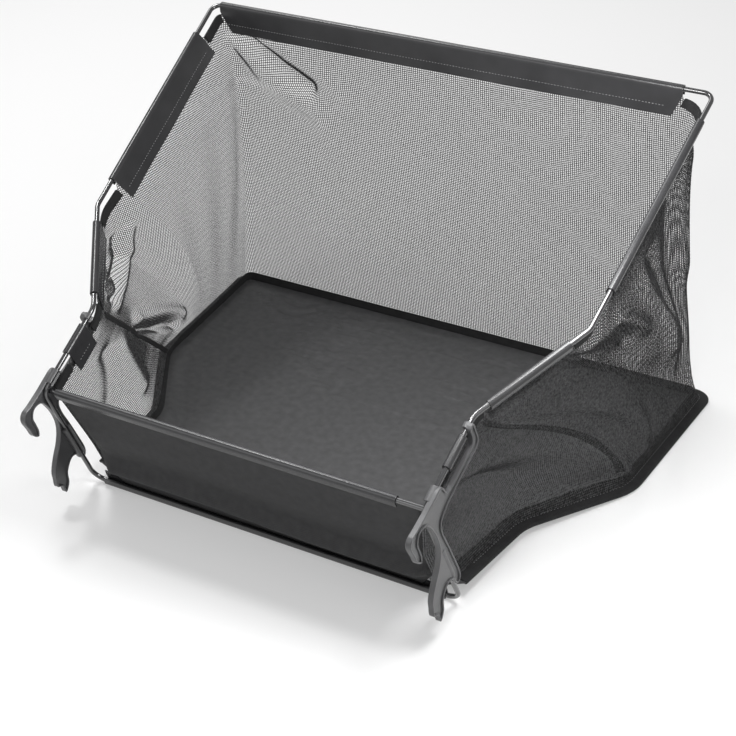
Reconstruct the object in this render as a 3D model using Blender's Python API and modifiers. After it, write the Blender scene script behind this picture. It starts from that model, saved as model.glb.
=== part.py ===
# Grass catcher for a push cylinder mower: a bent wire frame that holds open a bag of
# cloth and net, and two moulded hooks that hang it behind the mower.
# Metres, +Z up. The bag stands on its floor, the front is at -Y, and the origin is
# in the middle of the floor's underside.

import math

import bmesh
import bpy
import numpy as np
from mathutils import Matrix, Vector

# Driving dimensions of the wire frame. Widths are taken between wire centres. From the
# front bottom corner (foot) each side runs up the leg to the neck, then back along the
# sloping mouth over the knee and the shoulder to the rear corner.
WIRE_DIAMETER = 0.005
FOOT_WIDTH = 0.414
NECK_WIDTH = 0.401
KNEE_WIDTH = 0.407
SHOULDER_WIDTH = 0.535
REAR_WIDTH = 0.566
LEG_LENGTH = 0.155
LEG_LEAN = math.radians(24.2)
MOUTH_TILT = math.radians(26.6)
NECK_TO_KNEE = 0.100
KNEE_TO_SHOULDER = 0.113
SHOULDER_TO_REAR = 0.2845
FOOT_BEND = 0.014
NECK_BEND = 0.009
KNEE_BEND = 0.025
SHOULDER_BEND = 0.014
REAR_BEND = 0.010
FIT_GAP = 0.0003

# Plastic sleeves: a channel that snaps over the wire, with a strip sewn to the cloth.
SLEEVE_WALL = 0.0013
SLEEVE_PLAY = 0.00025
SLEEVE_LIP = 0.0065
SLEEVE_STRIP = 0.028
SHORT_SLEEVE = 0.033
MID_SLEEVE = 0.090
UPPER_SLEEVE = 0.206
TOP_SLEEVE = 0.526
FRONT_SLEEVE = 0.363
BOTTOM_SLEEVE = 0.384
BOTTOM_STRIP = 0.012
STRIP_MITRE = 0.014
SHORT_SLEEVE_START = 0.045
MID_SLEEVE_START = 0.017
UPPER_SLEEVE_START = {"left": 0.033, "right": 0.044}
TOP_SLEEVE_SHIFT = -0.010
FRONT_SLEEVE_SHIFT = -0.0105

# Bag. Floor sizes are those of the hem's outer edge, measured back from the front wire.
CLOTH = 0.0010
TAPE = 0.0007
FLOOR_DEPTH = 0.436
FLOOR_REAR_WIDTH = 0.604
FLOOR_KINK_WIDTH = 0.578
FLOOR_KINK_DEPTH = 0.234
FLOOR_WAIST_WIDTH = 0.440
FLOOR_WAIST_DEPTH = 0.122
FLOOR_FRONT_WIDTH = 0.416
FLOOR_FRONT_DEPTH = 0.012
FLOOR_CORNER = 0.020
FLOOR_KINK_ROUND = 0.060
FLOOR_WAIST_ROUND = 0.070
HEM_WIDTH = 0.012
HEM_UPSTAND = 0.011
HEM_TUCK = 0.004
FLOOR_FALL = 0.018
LIFT_FRONT = 0.014
LIFT_WAIST = 0.007
CLOTH_SEAT = 0.0045
RIM_DROP = 0.010
RIM_RAMP = 0.006
RIM_START = 0.012
RIM_KNEE_ROUND = 0.050
RIM_SHOULDER_ROUND = 0.040
RIM_REAR_ROUND = {"left": 0.0085, "right": 0.026}
FRONT_LEAN = math.radians(9)
REAR_LEAN = math.radians(25)
HANG_INSET = 0.032
SEAM_GAP = 0.0003
WALL_SPACING = 0.034
PANEL_TOP_WIDTH = 0.385
PANEL_WAIST_WIDTH = 0.356
PANEL_WAIST_HEIGHT = 0.060
PANEL_CHEEK_WIDTH = 0.362
PANEL_CHEEK_HEIGHT = 0.026
PANEL_HEEL_WIDTH = 0.330

# Moulded hooks, in the plane of the leg and the side wire.
HOOK_THICKNESS = 0.0075
HOOK_POCKET = 0.0026
HOOK_RIM = 0.0024
COLLAR_WALL = 0.0022
COLLAR_SLOT = 0.0034
SIDE_COLLAR = (0.009, 0.025)
REAR_COLLAR = (0.085, 0.0915)
LEG_COLLAR = (0.062, 0.110)

WIRE_RADIUS = WIRE_DIAMETER / 2
SLEEVE_INNER = WIRE_RADIUS + SLEEVE_PLAY
SLEEVE_OUTER = SLEEVE_INNER + SLEEVE_WALL
FOOT_BASE = 3 * TAPE + CLOTH + 2 * FIT_GAP
FRONT_Y = -FLOOR_DEPTH / 2
ZENITH = Vector((0, 0, 1))
SIDES = {"left": -1, "right": 1}


def material(name, colour, roughness, metallic=0.0):
    """Principled material of one colour."""
    mat = bpy.data.materials.new(name)
    mat.use_nodes = True
    shader = mat.node_tree.nodes["Principled BSDF"]
    shader.inputs["Base Color"].default_value = (*colour, 1)
    shader.inputs["Roughness"].default_value = roughness
    shader.inputs["Metallic"].default_value = metallic
    return mat


def add_mesh(name, mesh, collection, look):
    obj = bpy.data.objects.new(name, mesh)
    collection.objects.link(obj)
    obj.data.materials.clear()
    obj.data.materials.append(look)
    return obj


def curve_to_mesh(curve_obj, collection, look):
    """Replace a curve object by a welded mesh of the same name and place."""
    bpy.context.view_layer.update()
    evaluated = curve_obj.evaluated_get(bpy.context.evaluated_depsgraph_get())
    mesh = bpy.data.meshes.new_from_object(evaluated)
    name = curve_obj.name
    place = curve_obj.matrix_world.copy()
    bpy.data.objects.remove(curve_obj)
    bm = bmesh.new()
    bm.from_mesh(mesh)
    bmesh.ops.remove_doubles(bm, verts=bm.verts, dist=1e-6)
    bmesh.ops.recalc_face_normals(bm, faces=bm.faces)
    bm.to_mesh(mesh)
    bm.free()
    obj = add_mesh(name, mesh, collection, look)
    obj.matrix_world = place
    return obj


def boolean(obj, tool, operation):
    """Apply one exact Boolean and remove the tool."""
    mod = obj.modifiers.new(operation.lower(), "BOOLEAN")
    mod.operation = operation
    mod.object = tool
    bpy.context.view_layer.update()
    evaluated = obj.evaluated_get(bpy.context.evaluated_depsgraph_get())
    mesh = bpy.data.meshes.new_from_object(evaluated)
    obj.modifiers.clear()
    obj.data = mesh
    bpy.data.objects.remove(tool)


def frame_matrix(origin, x_axis, y_axis):
    """Placement whose X and Y run along the two given directions."""
    x_axis = Vector(x_axis).normalized()
    z_axis = x_axis.cross(Vector(y_axis)).normalized()
    y_axis = z_axis.cross(x_axis)
    rotation = Matrix((x_axis, y_axis, z_axis)).transposed().to_4x4()
    return Matrix.Translation(origin) @ rotation


def mirrored(point, side):
    return Vector((side * point[0], point[1], point[2]))


# Wire frame

def leg_direction():
    """From the neck down to the foot, seen from the side."""
    return Vector((0, math.sin(LEG_LEAN), -math.cos(LEG_LEAN)))


def slope_direction():
    return Vector((0, math.cos(MOUTH_TILT), math.sin(MOUTH_TILT)))


def frame_corners():
    """The right side's five corners, from foot to rear."""
    foot = Vector((FOOT_WIDTH / 2, FRONT_Y, SLEEVE_OUTER))
    neck = foot - leg_direction() * LEG_LENGTH
    neck.x = NECK_WIDTH / 2
    corners = [foot, neck]
    run = 0
    for step, width in (
        (NECK_TO_KNEE, KNEE_WIDTH),
        (KNEE_TO_SHOULDER, SHOULDER_WIDTH),
        (SHOULDER_TO_REAR, REAR_WIDTH),
    ):
        run += step
        point = neck + slope_direction() * run
        point.x = width / 2
        corners.append(point)
    return corners


def corner_arc(before, corner, after, radius, steps):
    """Points of the arc that rounds a corner, from the leg before to the leg after."""
    back = (before - corner).normalized()
    ahead = (after - corner).normalized()
    half = back.angle(ahead) / 2
    centre = corner + (back + ahead).normalized() * radius / math.sin(half)
    spoke = corner + back * radius / math.tan(half) - centre
    axis = spoke.cross(corner - centre).normalized()
    turn = math.pi - 2 * half
    return [centre + Matrix.Rotation(turn * k / steps, 3, axis) @ spoke
            for k in range(steps + 1)]


def rounded(corners, radii, steps):
    """Closed path through the corners, each one an arc of its radius."""
    path = []
    count = len(corners)
    for index, corner in enumerate(corners):
        after = corners[(index + 1) % count]
        path += corner_arc(corners[index - 1], corner, after, radii[index], steps)
    return path


def wire_curve(name, path, cyclic, collection, look):
    data = bpy.data.curves.new(name, "CURVE")
    data.dimensions = "3D"
    data.bevel_depth = WIRE_RADIUS
    data.bevel_resolution = 3
    data.use_fill_caps = not cyclic
    spline = data.splines.new("POLY")
    spline.points.add(len(path) - 1)
    for point, place in zip(spline.points, path):
        point.co = (*place, 1)
    spline.use_cyclic_u = cyclic
    data.materials.append(look)
    obj = bpy.data.objects.new(name, data)
    collection.objects.link(obj)
    return obj


def cross_wire_centre():
    """The cross wire nestles inside the neck bend."""
    neck = frame_corners()[1]
    neck_direction = (slope_direction() + leg_direction()).normalized()
    half = slope_direction().angle(leg_direction()) / 2
    bend_middle = NECK_BEND / math.sin(half) - NECK_BEND
    centre = neck + neck_direction * (bend_middle + WIRE_DIAMETER + FIT_GAP)
    return Vector((0, centre.y, centre.z))


def build_wires(collection, look):
    right = frame_corners()
    left = [mirrored(p, -1) for p in reversed(right)]
    radii = [FOOT_BEND, NECK_BEND, KNEE_BEND, SHOULDER_BEND, REAR_BEND]
    path = rounded(right + left, radii + radii[::-1], 5)
    wire_curve("frame_wire", path, True, collection, look)
    centre = cross_wire_centre()
    end = Vector((NECK_WIDTH / 2 - 2 * FIT_GAP, 0, 0))
    wire_curve("cross_wire", [centre - end, centre + end], False, collection, look)


# Sleeves

def sleeve_profile(strip):
    """Channel round the wire with a short outer lip and a long inner strip.
    X runs down the cloth from the wire's centre and Y points out of the bag."""
    points = []
    for k in range(9):
        angle = math.radians(90 + 180 * k / 8)
        points.append((SLEEVE_OUTER * math.cos(angle), SLEEVE_OUTER * math.sin(angle)))
    points.append((strip, -SLEEVE_OUTER))
    points.append((strip, -SLEEVE_INNER))
    for k in range(9):
        angle = math.radians(270 - 180 * k / 8)
        points.append((SLEEVE_INNER * math.cos(angle), SLEEVE_INNER * math.sin(angle)))
    points.append((SLEEVE_LIP, SLEEVE_INNER - SLEEVE_WALL / 2))
    points.append((SLEEVE_LIP, SLEEVE_OUTER - SLEEVE_WALL / 2))
    return points


def outline_object(name, outline, depth, place, collection, look):
    """Flat closed outline, extruded evenly to both sides of its plane."""
    data = bpy.data.curves.new(name, "CURVE")
    data.dimensions = "2D"
    data.fill_mode = "BOTH"
    data.extrude = depth / 2
    spline = data.splines.new("POLY")
    spline.points.add(len(outline) - 1)
    for point, (x, y) in zip(spline.points, outline):
        point.co = (x, y, 0, 1)
    spline.use_cyclic_u = True
    obj = bpy.data.objects.new(name, data)
    collection.objects.link(obj)
    obj.matrix_world = place
    return curve_to_mesh(obj, collection, look)


def add_sleeve(name, start, end, down, strip, collection, look, cuts=(0, 0)):
    """Sleeve on the wire from start to end; down runs along the cloth, and the cuts
    slant the strip's two ends, where the cloth turns a corner."""
    along = (end - start).normalized()
    outward = down.cross(along).normalized()
    middle = (start + end) / 2
    if outward.dot(middle - Vector((0, 0, middle.z))) < 0:
        outward = -outward
    place = frame_matrix(middle, down, outward)
    length = (end - start).length
    sleeve = outline_object(name, sleeve_profile(strip), length, place, collection, look)
    forward = 1 if place.col[2].to_3d().dot(along) > 0 else -1
    for vertex in sleeve.data.vertices:
        if vertex.co.x > strip - FIT_GAP:
            cut = cuts[1] if vertex.co.z * forward > 0 else cuts[0]
            vertex.co.z -= math.copysign(cut, vertex.co.z)
    return sleeve


def hang(inward, lean):
    """Direction in which the cloth leaves the rim wire, leaning into the bag."""
    below = Vector((0, math.sin(MOUTH_TILT), -math.cos(MOUTH_TILT)))
    return below * math.cos(lean) + inward * math.sin(lean)


def inward_of(along, side):
    """In the mouth's plane, square to a side wire, towards the middle."""
    plane_normal = Vector((0, -math.sin(MOUTH_TILT), math.cos(MOUTH_TILT)))
    return plane_normal.cross(along).normalized() * side


def foot_centre():
    """Middle of the bottom wire."""
    return Vector((0, FRONT_Y, SLEEVE_OUTER))


def front_panel_direction():
    """From the cross wire down to the bottom wire."""
    return (foot_centre() - cross_wire_centre()).normalized()


def build_sleeves(collection, look):
    foot, neck, knee, shoulder, rear = frame_corners()
    for side_name, side in SIDES.items():
        spans = (
            ("short", neck, knee, SHORT_SLEEVE_START, SHORT_SLEEVE, FRONT_LEAN),
            ("mid", knee, shoulder, MID_SLEEVE_START, MID_SLEEVE, FRONT_LEAN),
            ("upper", shoulder, rear, UPPER_SLEEVE_START[side_name], UPPER_SLEEVE, REAR_LEAN),
        )
        for label, low, high, start, length, lean in spans:
            low = mirrored(low, side)
            along = (mirrored(high, side) - low).normalized()
            down = hang(inward_of(along, side), lean)
            first = low + along * start
            cuts = (0, STRIP_MITRE if label == "upper" else 0)
            add_sleeve(f"sleeve_{label}_{side_name}", first, first + along * length,
                       down, SLEEVE_STRIP, collection, look, cuts)
    half = Vector((TOP_SLEEVE / 2, 0, 0))
    middle = Vector((TOP_SLEEVE_SHIFT, rear.y, rear.z))
    down = hang(-slope_direction(), REAR_LEAN)
    add_sleeve("sleeve_top", middle - half, middle + half, down, SLEEVE_STRIP,
               collection, look, (STRIP_MITRE, STRIP_MITRE))
    half = Vector((FRONT_SLEEVE / 2, 0, 0))
    middle = cross_wire_centre() + Vector((FRONT_SLEEVE_SHIFT, 0, 0))
    down = front_panel_direction()
    add_sleeve("sleeve_front", middle - half, middle + half, down, SLEEVE_STRIP,
               collection, look, (STRIP_MITRE / 2, STRIP_MITRE / 2))
    half = Vector((BOTTOM_SLEEVE / 2, 0, 0))
    middle = Vector((0, foot.y, foot.z))
    add_sleeve("sleeve_bottom", middle - half, middle + half, -down, BOTTOM_STRIP,
               collection, look)


# Bag

class Edge:
    """Open path with rounded corners, walked with the bag's inside on its left.
    Each sample keeps a unit normal to the inside and a mitred one, which shifts both
    legs of a corner by the same amount, so that cloth can lean in without crossing."""

    def __init__(self, corners, radii, up, ramp=0.05, steps=6):
        self.rows = []
        self.arcs = []
        last = len(corners) - 1
        arcs = [[corners[0]]]
        for i in range(1, last):
            arcs.append(corner_arc(corners[i - 1], corners[i], corners[i + 1],
                                   radii[i], steps))
        arcs.append([corners[last]])
        turns = [0.0] * (last + 1)
        legs = [(corners[i + 1] - corners[i]).normalized() for i in range(last)]
        for i in range(1, last):
            turns[i] = math.tan(legs[i - 1].angle(legs[i]) / 2)
            if up.dot(legs[i - 1].cross(legs[i])) < 0:
                turns[i] = -turns[i]
        self.reach = [0.0] + [(arcs[i][0] - corners[i]).length for i in range(1, last)]
        self.length = 0.0
        previous = None
        for i in range(last):
            inward = up.cross(legs[i]).normalized()
            start = arcs[i][-1]
            end = arcs[i + 1][0]
            run = (end - start).length
            bend = min(ramp, run / 2.2)
            for place, skew in ((0, turns[i]), (bend, 0), (run - bend, 0),
                                (run, -turns[i + 1])):
                point = start + legs[i] * place
                previous = self.add(point, inward, inward + legs[i] * skew, previous)
            if i + 1 < last:
                mitre = inward - legs[i] * turns[i + 1]
                following = up.cross(legs[i + 1]).normalized()
                first = self.length
                for k in range(1, steps):
                    blend = k / steps
                    normal = inward.slerp(following, blend)
                    previous = self.add(arcs[i + 1][k], normal, mitre, previous)
                end = arcs[i + 1][-1]
                self.arcs.append((first, self.length + (end - previous).length))
        self.table = np.array(self.rows)

    def add(self, point, inward, mitre, previous):
        if previous is not None:
            self.length += (point - previous).length
        self.rows.append((self.length, *point, *inward, *mitre))
        return point

    def at(self, distance):
        """Point, unit inward normal and mitred inward normal at a distance."""
        row = [np.interp(distance, self.table[:, 0], self.table[:, c])
               for c in range(1, 10)]
        return Vector(row[0:3]), Vector(row[3:6]).normalized(), Vector(row[6:9])

    def leg_distance(self, corner, run):
        """Distance of a point that lies a given run past a corner."""
        if corner == 0:
            return run
        return self.arcs[corner - 1][1] + run - self.reach[corner]


def rim_edge():
    """The rim wire's line from the right neck round the back to the left neck."""
    foot, neck, knee, shoulder, rear = frame_corners()
    start = neck + (knee - neck).normalized() * RIM_START
    right = [start, knee, shoulder, rear]
    left = [mirrored(p, -1) for p in reversed(right)]
    radii = [0, RIM_KNEE_ROUND, RIM_SHOULDER_ROUND, RIM_REAR_ROUND["right"],
             RIM_REAR_ROUND["left"], RIM_SHOULDER_ROUND, RIM_KNEE_ROUND, 0]
    up = Vector((0, -math.sin(MOUTH_TILT), math.cos(MOUTH_TILT)))
    return Edge(right + left, radii, up)


def foot_edge():
    """The inner face of the wall's foot, round the floor, from right to left."""
    right = []
    for width, depth, lift in (
        (FLOOR_FRONT_WIDTH, FLOOR_FRONT_DEPTH, LIFT_FRONT),
        (FLOOR_WAIST_WIDTH, FLOOR_WAIST_DEPTH, LIFT_WAIST),
        (FLOOR_KINK_WIDTH, FLOOR_KINK_DEPTH, 0),
        (FLOOR_REAR_WIDTH, FLOOR_DEPTH - HEM_WIDTH, 0),
    ):
        right.append(Vector((width / 2 - HEM_WIDTH, FRONT_Y + depth, FOOT_BASE + lift)))
    left = [mirrored(p, -1) for p in reversed(right)]
    corner = FLOOR_CORNER - HEM_WIDTH
    radii = [0, FLOOR_WAIST_ROUND, FLOOR_KINK_ROUND, corner]
    return Edge(right + left, radii + radii[::-1], ZENITH)


def sleeve_spans(rim):
    """Stretches of the rim that the sleeves hold, from right to left."""
    foot, neck, knee, shoulder, rear = frame_corners()
    legs = [(knee - neck).length - RIM_START, (shoulder - knee).length,
            (rear - shoulder).length]
    starts = [SHORT_SLEEVE_START - RIM_START, MID_SLEEVE_START, 0]
    lengths = [SHORT_SLEEVE, MID_SLEEVE, UPPER_SLEEVE]
    spans = []
    for corner in (0, 1, 2):
        start = UPPER_SLEEVE_START["right"] if corner == 2 else starts[corner]
        spans.append((rim.leg_distance(corner, start),
                      rim.leg_distance(corner, start + lengths[corner])))
    start = REAR_WIDTH / 2 - TOP_SLEEVE / 2 - TOP_SLEEVE_SHIFT
    spans.append((rim.leg_distance(3, start), rim.leg_distance(3, start + TOP_SLEEVE)))
    for corner in (2, 1, 0):
        start = UPPER_SLEEVE_START["left"] if corner == 2 else starts[corner]
        end = legs[corner] - start
        spans.append((rim.leg_distance(6 - corner, end - lengths[corner]),
                      rim.leg_distance(6 - corner, end)))
    return spans


class Wall:
    """The bag's wall, as columns from the rim wire down to the hem."""

    def __init__(self):
        self.rim = rim_edge()
        self.foot = foot_edge()
        self.spans = sleeve_spans(self.rim)
        rim_arcs = self.rim.arcs
        foot_arcs = self.foot.arcs
        self.seams = (rim_arcs[0][1], rim_arcs[5][0])
        self.rim_keys = [0, self.seams[0], *rim_arcs[2], *rim_arcs[3], self.seams[1],
                         self.rim.length]
        self.foot_keys = [0, sum(foot_arcs[1]) / 2, *foot_arcs[2], *foot_arcs[3],
                          sum(foot_arcs[4]) / 2, self.foot.length]
        lean_keys = [self.spans[1][1] + FIT_GAP, self.spans[2][0] - FIT_GAP,
                     self.spans[4][1] + FIT_GAP, self.spans[5][0] - FIT_GAP]
        leans = [FRONT_LEAN, REAR_LEAN, REAR_LEAN, FRONT_LEAN]
        self.lean = lambda d: float(np.interp(d, lean_keys, leans))
        drop_keys = []
        drops = []
        for start, end in self.spans:
            drop_keys += [start - RIM_RAMP, start, end, end + RIM_RAMP]
            drops += [RIM_DROP, CLOTH_SEAT, CLOTH_SEAT, RIM_DROP]
        self.drop = lambda d: float(np.interp(d, drop_keys, drops))
        marks = drop_keys + lean_keys + self.rim_keys
        for arc_start, arc_end in rim_arcs:
            marks += list(np.linspace(arc_start, arc_end, 5))
        self.steps = self.spread([m for m in marks if 0 <= m <= self.rim.length])

    def spread(self, marks):
        """Column places: all marks, less those under 1 mm apart, and even fill."""
        kept = [0.0]
        for mark in sorted(marks):
            if mark - kept[-1] > 0.001:
                parts = max(1, round((mark - kept[-1]) / WALL_SPACING))
                kept += list(np.linspace(kept[-1], mark, parts + 1))[1:]
        kept[-1] = self.rim.length
        return kept

    def stations(self, start, end):
        """Column places from start to end."""
        return [start] + [d for d in self.steps if start + 0.001 < d < end - 0.001] + [end]

    def foot_distance(self, distance):
        return float(np.interp(distance, self.rim_keys, self.foot_keys))

    def out(self, distance):
        """Square to the hanging cloth, away from the bag."""
        point, inward, mitre = self.rim.at(distance)
        lean = self.lean(distance)
        return hang(inward, 0) * math.sin(lean) - inward * math.cos(lean)

    def column(self, distance, rows=6):
        """Inner face from the rim to the foot: straight behind the sewing strip, then
        a cubic that falls almost plumb, hangs inset and flares out to the hem."""
        point, inward, mitre = self.rim.at(distance)
        foot, foot_inward, foot_mitre = self.foot.at(self.foot_distance(distance))
        down = hang(mitre, self.lean(distance))
        base = point - self.out(distance) * (SLEEVE_INNER - FIT_GAP)
        top = base + down * self.drop(distance)
        knuckle = base + down * (SLEEVE_STRIP + 2 * FIT_GAP)
        fall = (foot - knuckle).length
        first = knuckle + down * fall * 0.30
        last = foot + ZENITH * fall * 0.35 + foot_mitre * HANG_INSET
        points = [top, knuckle]
        for k in range(1, rows + 1):
            t = k / rows if k < rows else 1
            t = 1 - (1 - t) ** 1.25
            s = 1 - t
            points.append(knuckle * s ** 3 + first * (3 * s * s * t)
                          + last * (3 * s * t * t) + foot * t ** 3)
        return points


def sheet_mesh(name, columns, thickness, outside, collection, look):
    """Cloth as an open sheet of columns, thickened towards the outside point."""
    bm = bmesh.new()
    grid = [[bm.verts.new(p) for p in column] for column in columns]
    for left, right in zip(grid, grid[1:]):
        for k in range(len(left) - 1):
            bm.faces.new((left[k], right[k], right[k + 1], left[k + 1]))
    bmesh.ops.recalc_face_normals(bm, faces=bm.faces)
    bm.normal_update()
    middle = bm.faces[:][len(bm.faces) // 2]
    if middle.normal.dot(outside) < 0:
        bmesh.ops.reverse_faces(bm, faces=bm.faces)
    mesh = bpy.data.meshes.new(name)
    bm.to_mesh(mesh)
    bm.free()
    mesh.shade_smooth()
    obj = add_mesh(name, mesh, collection, look)
    solid = obj.modifiers.new("thickness", "SOLIDIFY")
    solid.thickness = thickness
    solid.offset = 1
    solid.use_even_offset = False
    return obj


def panel_half_width(height):
    """Front panel's half width at a height above the bottom wire, along the panel."""
    full = (foot_centre() - cross_wire_centre()).length
    heights = [0, PANEL_CHEEK_HEIGHT, PANEL_WAIST_HEIGHT, full]
    widths = [PANEL_HEEL_WIDTH, PANEL_CHEEK_WIDTH, PANEL_WAIST_WIDTH, PANEL_TOP_WIDTH]
    return float(np.interp(height, heights, widths)) / 2


def panel_normal():
    """Out of the bag, square to the front panel."""
    return front_panel_direction().cross(Vector((1, 0, 0))).normalized()


def panel_point(x, height):
    """Point on the front panel's inner face."""
    down = front_panel_direction()
    base = foot_centre() - down * height - panel_normal() * (SLEEVE_INNER - FIT_GAP)
    return base + Vector((x, 0, 0))


def panel_heights():
    full = (foot_centre() - cross_wire_centre()).length
    strip = full - SLEEVE_STRIP - 2 * FIT_GAP
    return [full - CLOTH_SEAT, strip, strip * 0.8, PANEL_WAIST_HEIGHT,
            (PANEL_WAIST_HEIGHT + PANEL_CHEEK_HEIGHT) / 2, PANEL_CHEEK_HEIGHT,
            BOTTOM_STRIP + 2 * FIT_GAP, CLOTH_SEAT]


def build_front_panel(collection, look):
    shares = [k / 6 for k in range(-6, 7)]
    columns = []
    for share in shares:
        columns.append([panel_point(share * panel_half_width(h), h)
                        for h in panel_heights()])
    sheet_mesh("front_panel", columns, CLOTH, panel_normal(), collection, look)


def front_column(side, wall, rows=6):
    """Front edge of a side net, along the front panel's side edge."""
    full = (foot_centre() - cross_wire_centre()).length
    knuckle = full - SLEEVE_STRIP
    heights = [full - RIM_DROP, *np.linspace(knuckle, PANEL_WAIST_HEIGHT, rows - 1)]
    heights += list(np.linspace(PANEL_WAIST_HEIGHT, PANEL_CHEEK_HEIGHT, 3))[1:]
    return [panel_point(side * (panel_half_width(h) + SEAM_GAP), h) for h in heights]


def build_nets(wall, collection, look):
    for side_name, side in SIDES.items():
        if side > 0:
            distances = wall.stations(0, wall.seams[0] - SEAM_GAP / 2)
        else:
            distances = wall.stations(wall.seams[1] + SEAM_GAP / 2, wall.rim.length)
            distances = distances[::-1]
        columns = [wall.column(d) for d in distances]
        edge = front_column(side, wall)
        bow = Vector((side, -0.4, 0)) * 0.0025
        corner = [(a + b) / 2 + bow for a, b in zip(edge, columns[0])]
        outside = Vector((side, 0, 0))
        sheet_mesh(f"side_net_{side_name}", [edge, corner] + columns, CLOTH, outside,
                   collection, look)
    distances = wall.stations(wall.seams[0] + SEAM_GAP / 2, wall.seams[1] - SEAM_GAP / 2)
    columns = [wall.column(d) for d in distances]
    sheet_mesh("net_wrap", columns, CLOTH, Vector((0, 1, 0)), collection, look)


def floor_height(x, y, line, edge_height):
    """Floor's underside: level with the hem near the foot line, flat further in."""
    away = np.hypot(line[:, 0] - x, line[:, 1] - y)
    nearest = int(np.argmin(away))
    inside = 1 if abs(x) < abs(line[nearest, 0]) and y < line[-1, 1] else 0
    depth = inside * float(away[nearest]) - HEM_TUCK - FLOOR_FALL / 8
    near = min(max(depth / FLOOR_FALL, 0.0), 1.0)
    edge = line[nearest, 2] - FOOT_BASE + edge_height
    return edge * (1 - near) ** 2 * (1 + 2 * near)


def build_floor(wall, collection, look):
    """Closed weave, flat on the ground and lifted at its edge into the hem."""
    foot = wall.foot
    edge_height = (FOOT_BASE - FIT_GAP - CLOTH) / 2
    reach = HEM_WIDTH - TAPE - FIT_GAP
    flat = reach + HEM_TUCK + FLOOR_FALL / 8
    line = np.array([foot.at(d)[0] for d in np.linspace(0, foot.length / 2, 700)])
    front = FRONT_Y + SLEEVE_OUTER + FIT_GAP
    columns = []
    rims = [(Vector((PANEL_HEEL_WIDTH / 2, front, 0)), 1.0)]
    for distance in wall.stations(0, wall.rim.arcs[2][1]):
        point, inward, mitre = foot.at(wall.foot_distance(distance))
        rims.append((point - inward * reach, max(-inward.x, 0.7)))
    for rim_point, slant in rims:
        half = rim_point.x
        bands = [half - (flat + part * FLOOR_FALL) / slant for part in (1, 0.5, 0)]
        row = []
        for x in (0, bands[0] / 2, *bands, half):
            height = floor_height(x, rim_point.y, line, edge_height)
            if rim_point.y == front:
                height = 0
            row.append(Vector((x, rim_point.y, height)))
        columns.append([mirrored(p, -1) for p in reversed(row[1:])] + row)
    return sheet_mesh("floor_panel", columns, CLOTH, ZENITH, collection, look)


def build_hem(wall, collection, look):
    """Binding folded round the floor's edge, with a leg up the wall's inner face."""
    bm = bmesh.new()
    rings = []
    base = FOOT_BASE - FIT_GAP
    for distance in wall.stations(0, wall.rim.length):
        point, inward, mitre = wall.foot.at(wall.foot_distance(distance))
        column = wall.column(distance)
        rise = (column[-2] - column[-1]).normalized() * HEM_UPSTAND
        outward = -inward
        low = point - ZENITH * (base + FIT_GAP)
        inner = -2 * FIT_GAP

        def place(across, height):
            return low + outward * across + ZENITH * height

        section = [
            place(-HEM_TUCK, 0), place(HEM_WIDTH, 0), place(HEM_WIDTH, base),
            place(inner, base), place(inner, base) + rise,
            place(inner - TAPE, base) + rise, place(inner - TAPE, base - TAPE),
            place(HEM_WIDTH - TAPE, base - TAPE), place(HEM_WIDTH - TAPE, TAPE),
            place(-HEM_TUCK, TAPE),
        ]
        rings.append([bm.verts.new(p) for p in section])
    count = len(rings[0])
    for first, second in zip(rings, rings[1:]):
        for k in range(count):
            m = (k + 1) % count
            bm.faces.new((first[k], first[m], second[m], second[k]))
    bm.faces.new(rings[0])
    bm.faces.new(rings[-1][::-1])
    bmesh.ops.recalc_face_normals(bm, faces=bm.faces)
    mesh = bpy.data.meshes.new("hem_binding")
    bm.to_mesh(mesh)
    bm.free()
    add_mesh("hem_binding", mesh, collection, look)


# Hooks

# Outline in millimetres along the side wire and down the leg from the neck corner.
HOOK_OUTLINE = (
    (27, -4), (12, -4.5), (-4, -5), (-22, -8), (-34, -8), (-38, 0), (-37, 15),
    (-36.5, 27), (-30, 33.5), (-24, 29), (-21.5, 20), (-21, 11), (-15, 7.5),
    (-8.5, 12), (-6.5, 28), (-7.5, 46), (-13, 60), (-25, 71), (-38, 79), (-46.5, 88),
    (-45, 98), (-47, 108), (-42, 117), (-32, 120), (-23.5, 116), (-18, 109),
    (-11, 110), (-7.5, 119), (-5, 126), (4, 125.5), (8, 114), (7, 90), (7, 67),
    (7, 44), (13, 32), (26, 27), (41, 26), (68, 27), (85, 27), (91, 22), (91.5, 10),
    (91, -3.5), (83.5, -3.5), (82.5, 8), (79, 15.5), (60, 17.5), (40, 17.5),
    (32.5, 14), (32, 2),
)


def hook_outline(cosine, sine):
    """Closed smooth outline in the plane whose X runs along the side wire."""
    knots = [Vector(((p + q * cosine) / 1000, q * sine / 1000)) for p, q in HOOK_OUTLINE]
    count = len(knots)
    path = []
    for i in range(count):
        a, b, c, d = (knots[(i + k) % count] for k in (-1, 0, 1, 2))
        for t in (0, 0.5):
            path.append(0.5 * (2 * b + (c - a) * t + (2 * a - 5 * b + 4 * c - d) * t ** 2
                               + (3 * b - a - 3 * c + d) * t ** 3))
    return path


def inset(outline, distance):
    """Outline moved inwards, for a pocket that leaves a rim; outline runs so that the
    material is on the left or on the right, told by its area."""
    area = sum(a.x * b.y - b.x * a.y for a, b in zip(outline, outline[1:] + outline[:1]))
    turn = 1 if area > 0 else -1
    moved = []
    count = len(outline)
    for i in range(count):
        tangent = (outline[(i + 1) % count] - outline[i - 1]).normalized()
        normal = Vector((-tangent.y, tangent.x)) * turn
        moved.append(outline[i] + normal * distance)
    kept = []
    for i in range(count):
        step = moved[(i + 1) % count] - moved[i]
        original = outline[(i + 1) % count] - outline[i]
        if step.dot(original) > 0:
            kept.append(moved[i])
    return kept


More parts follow.
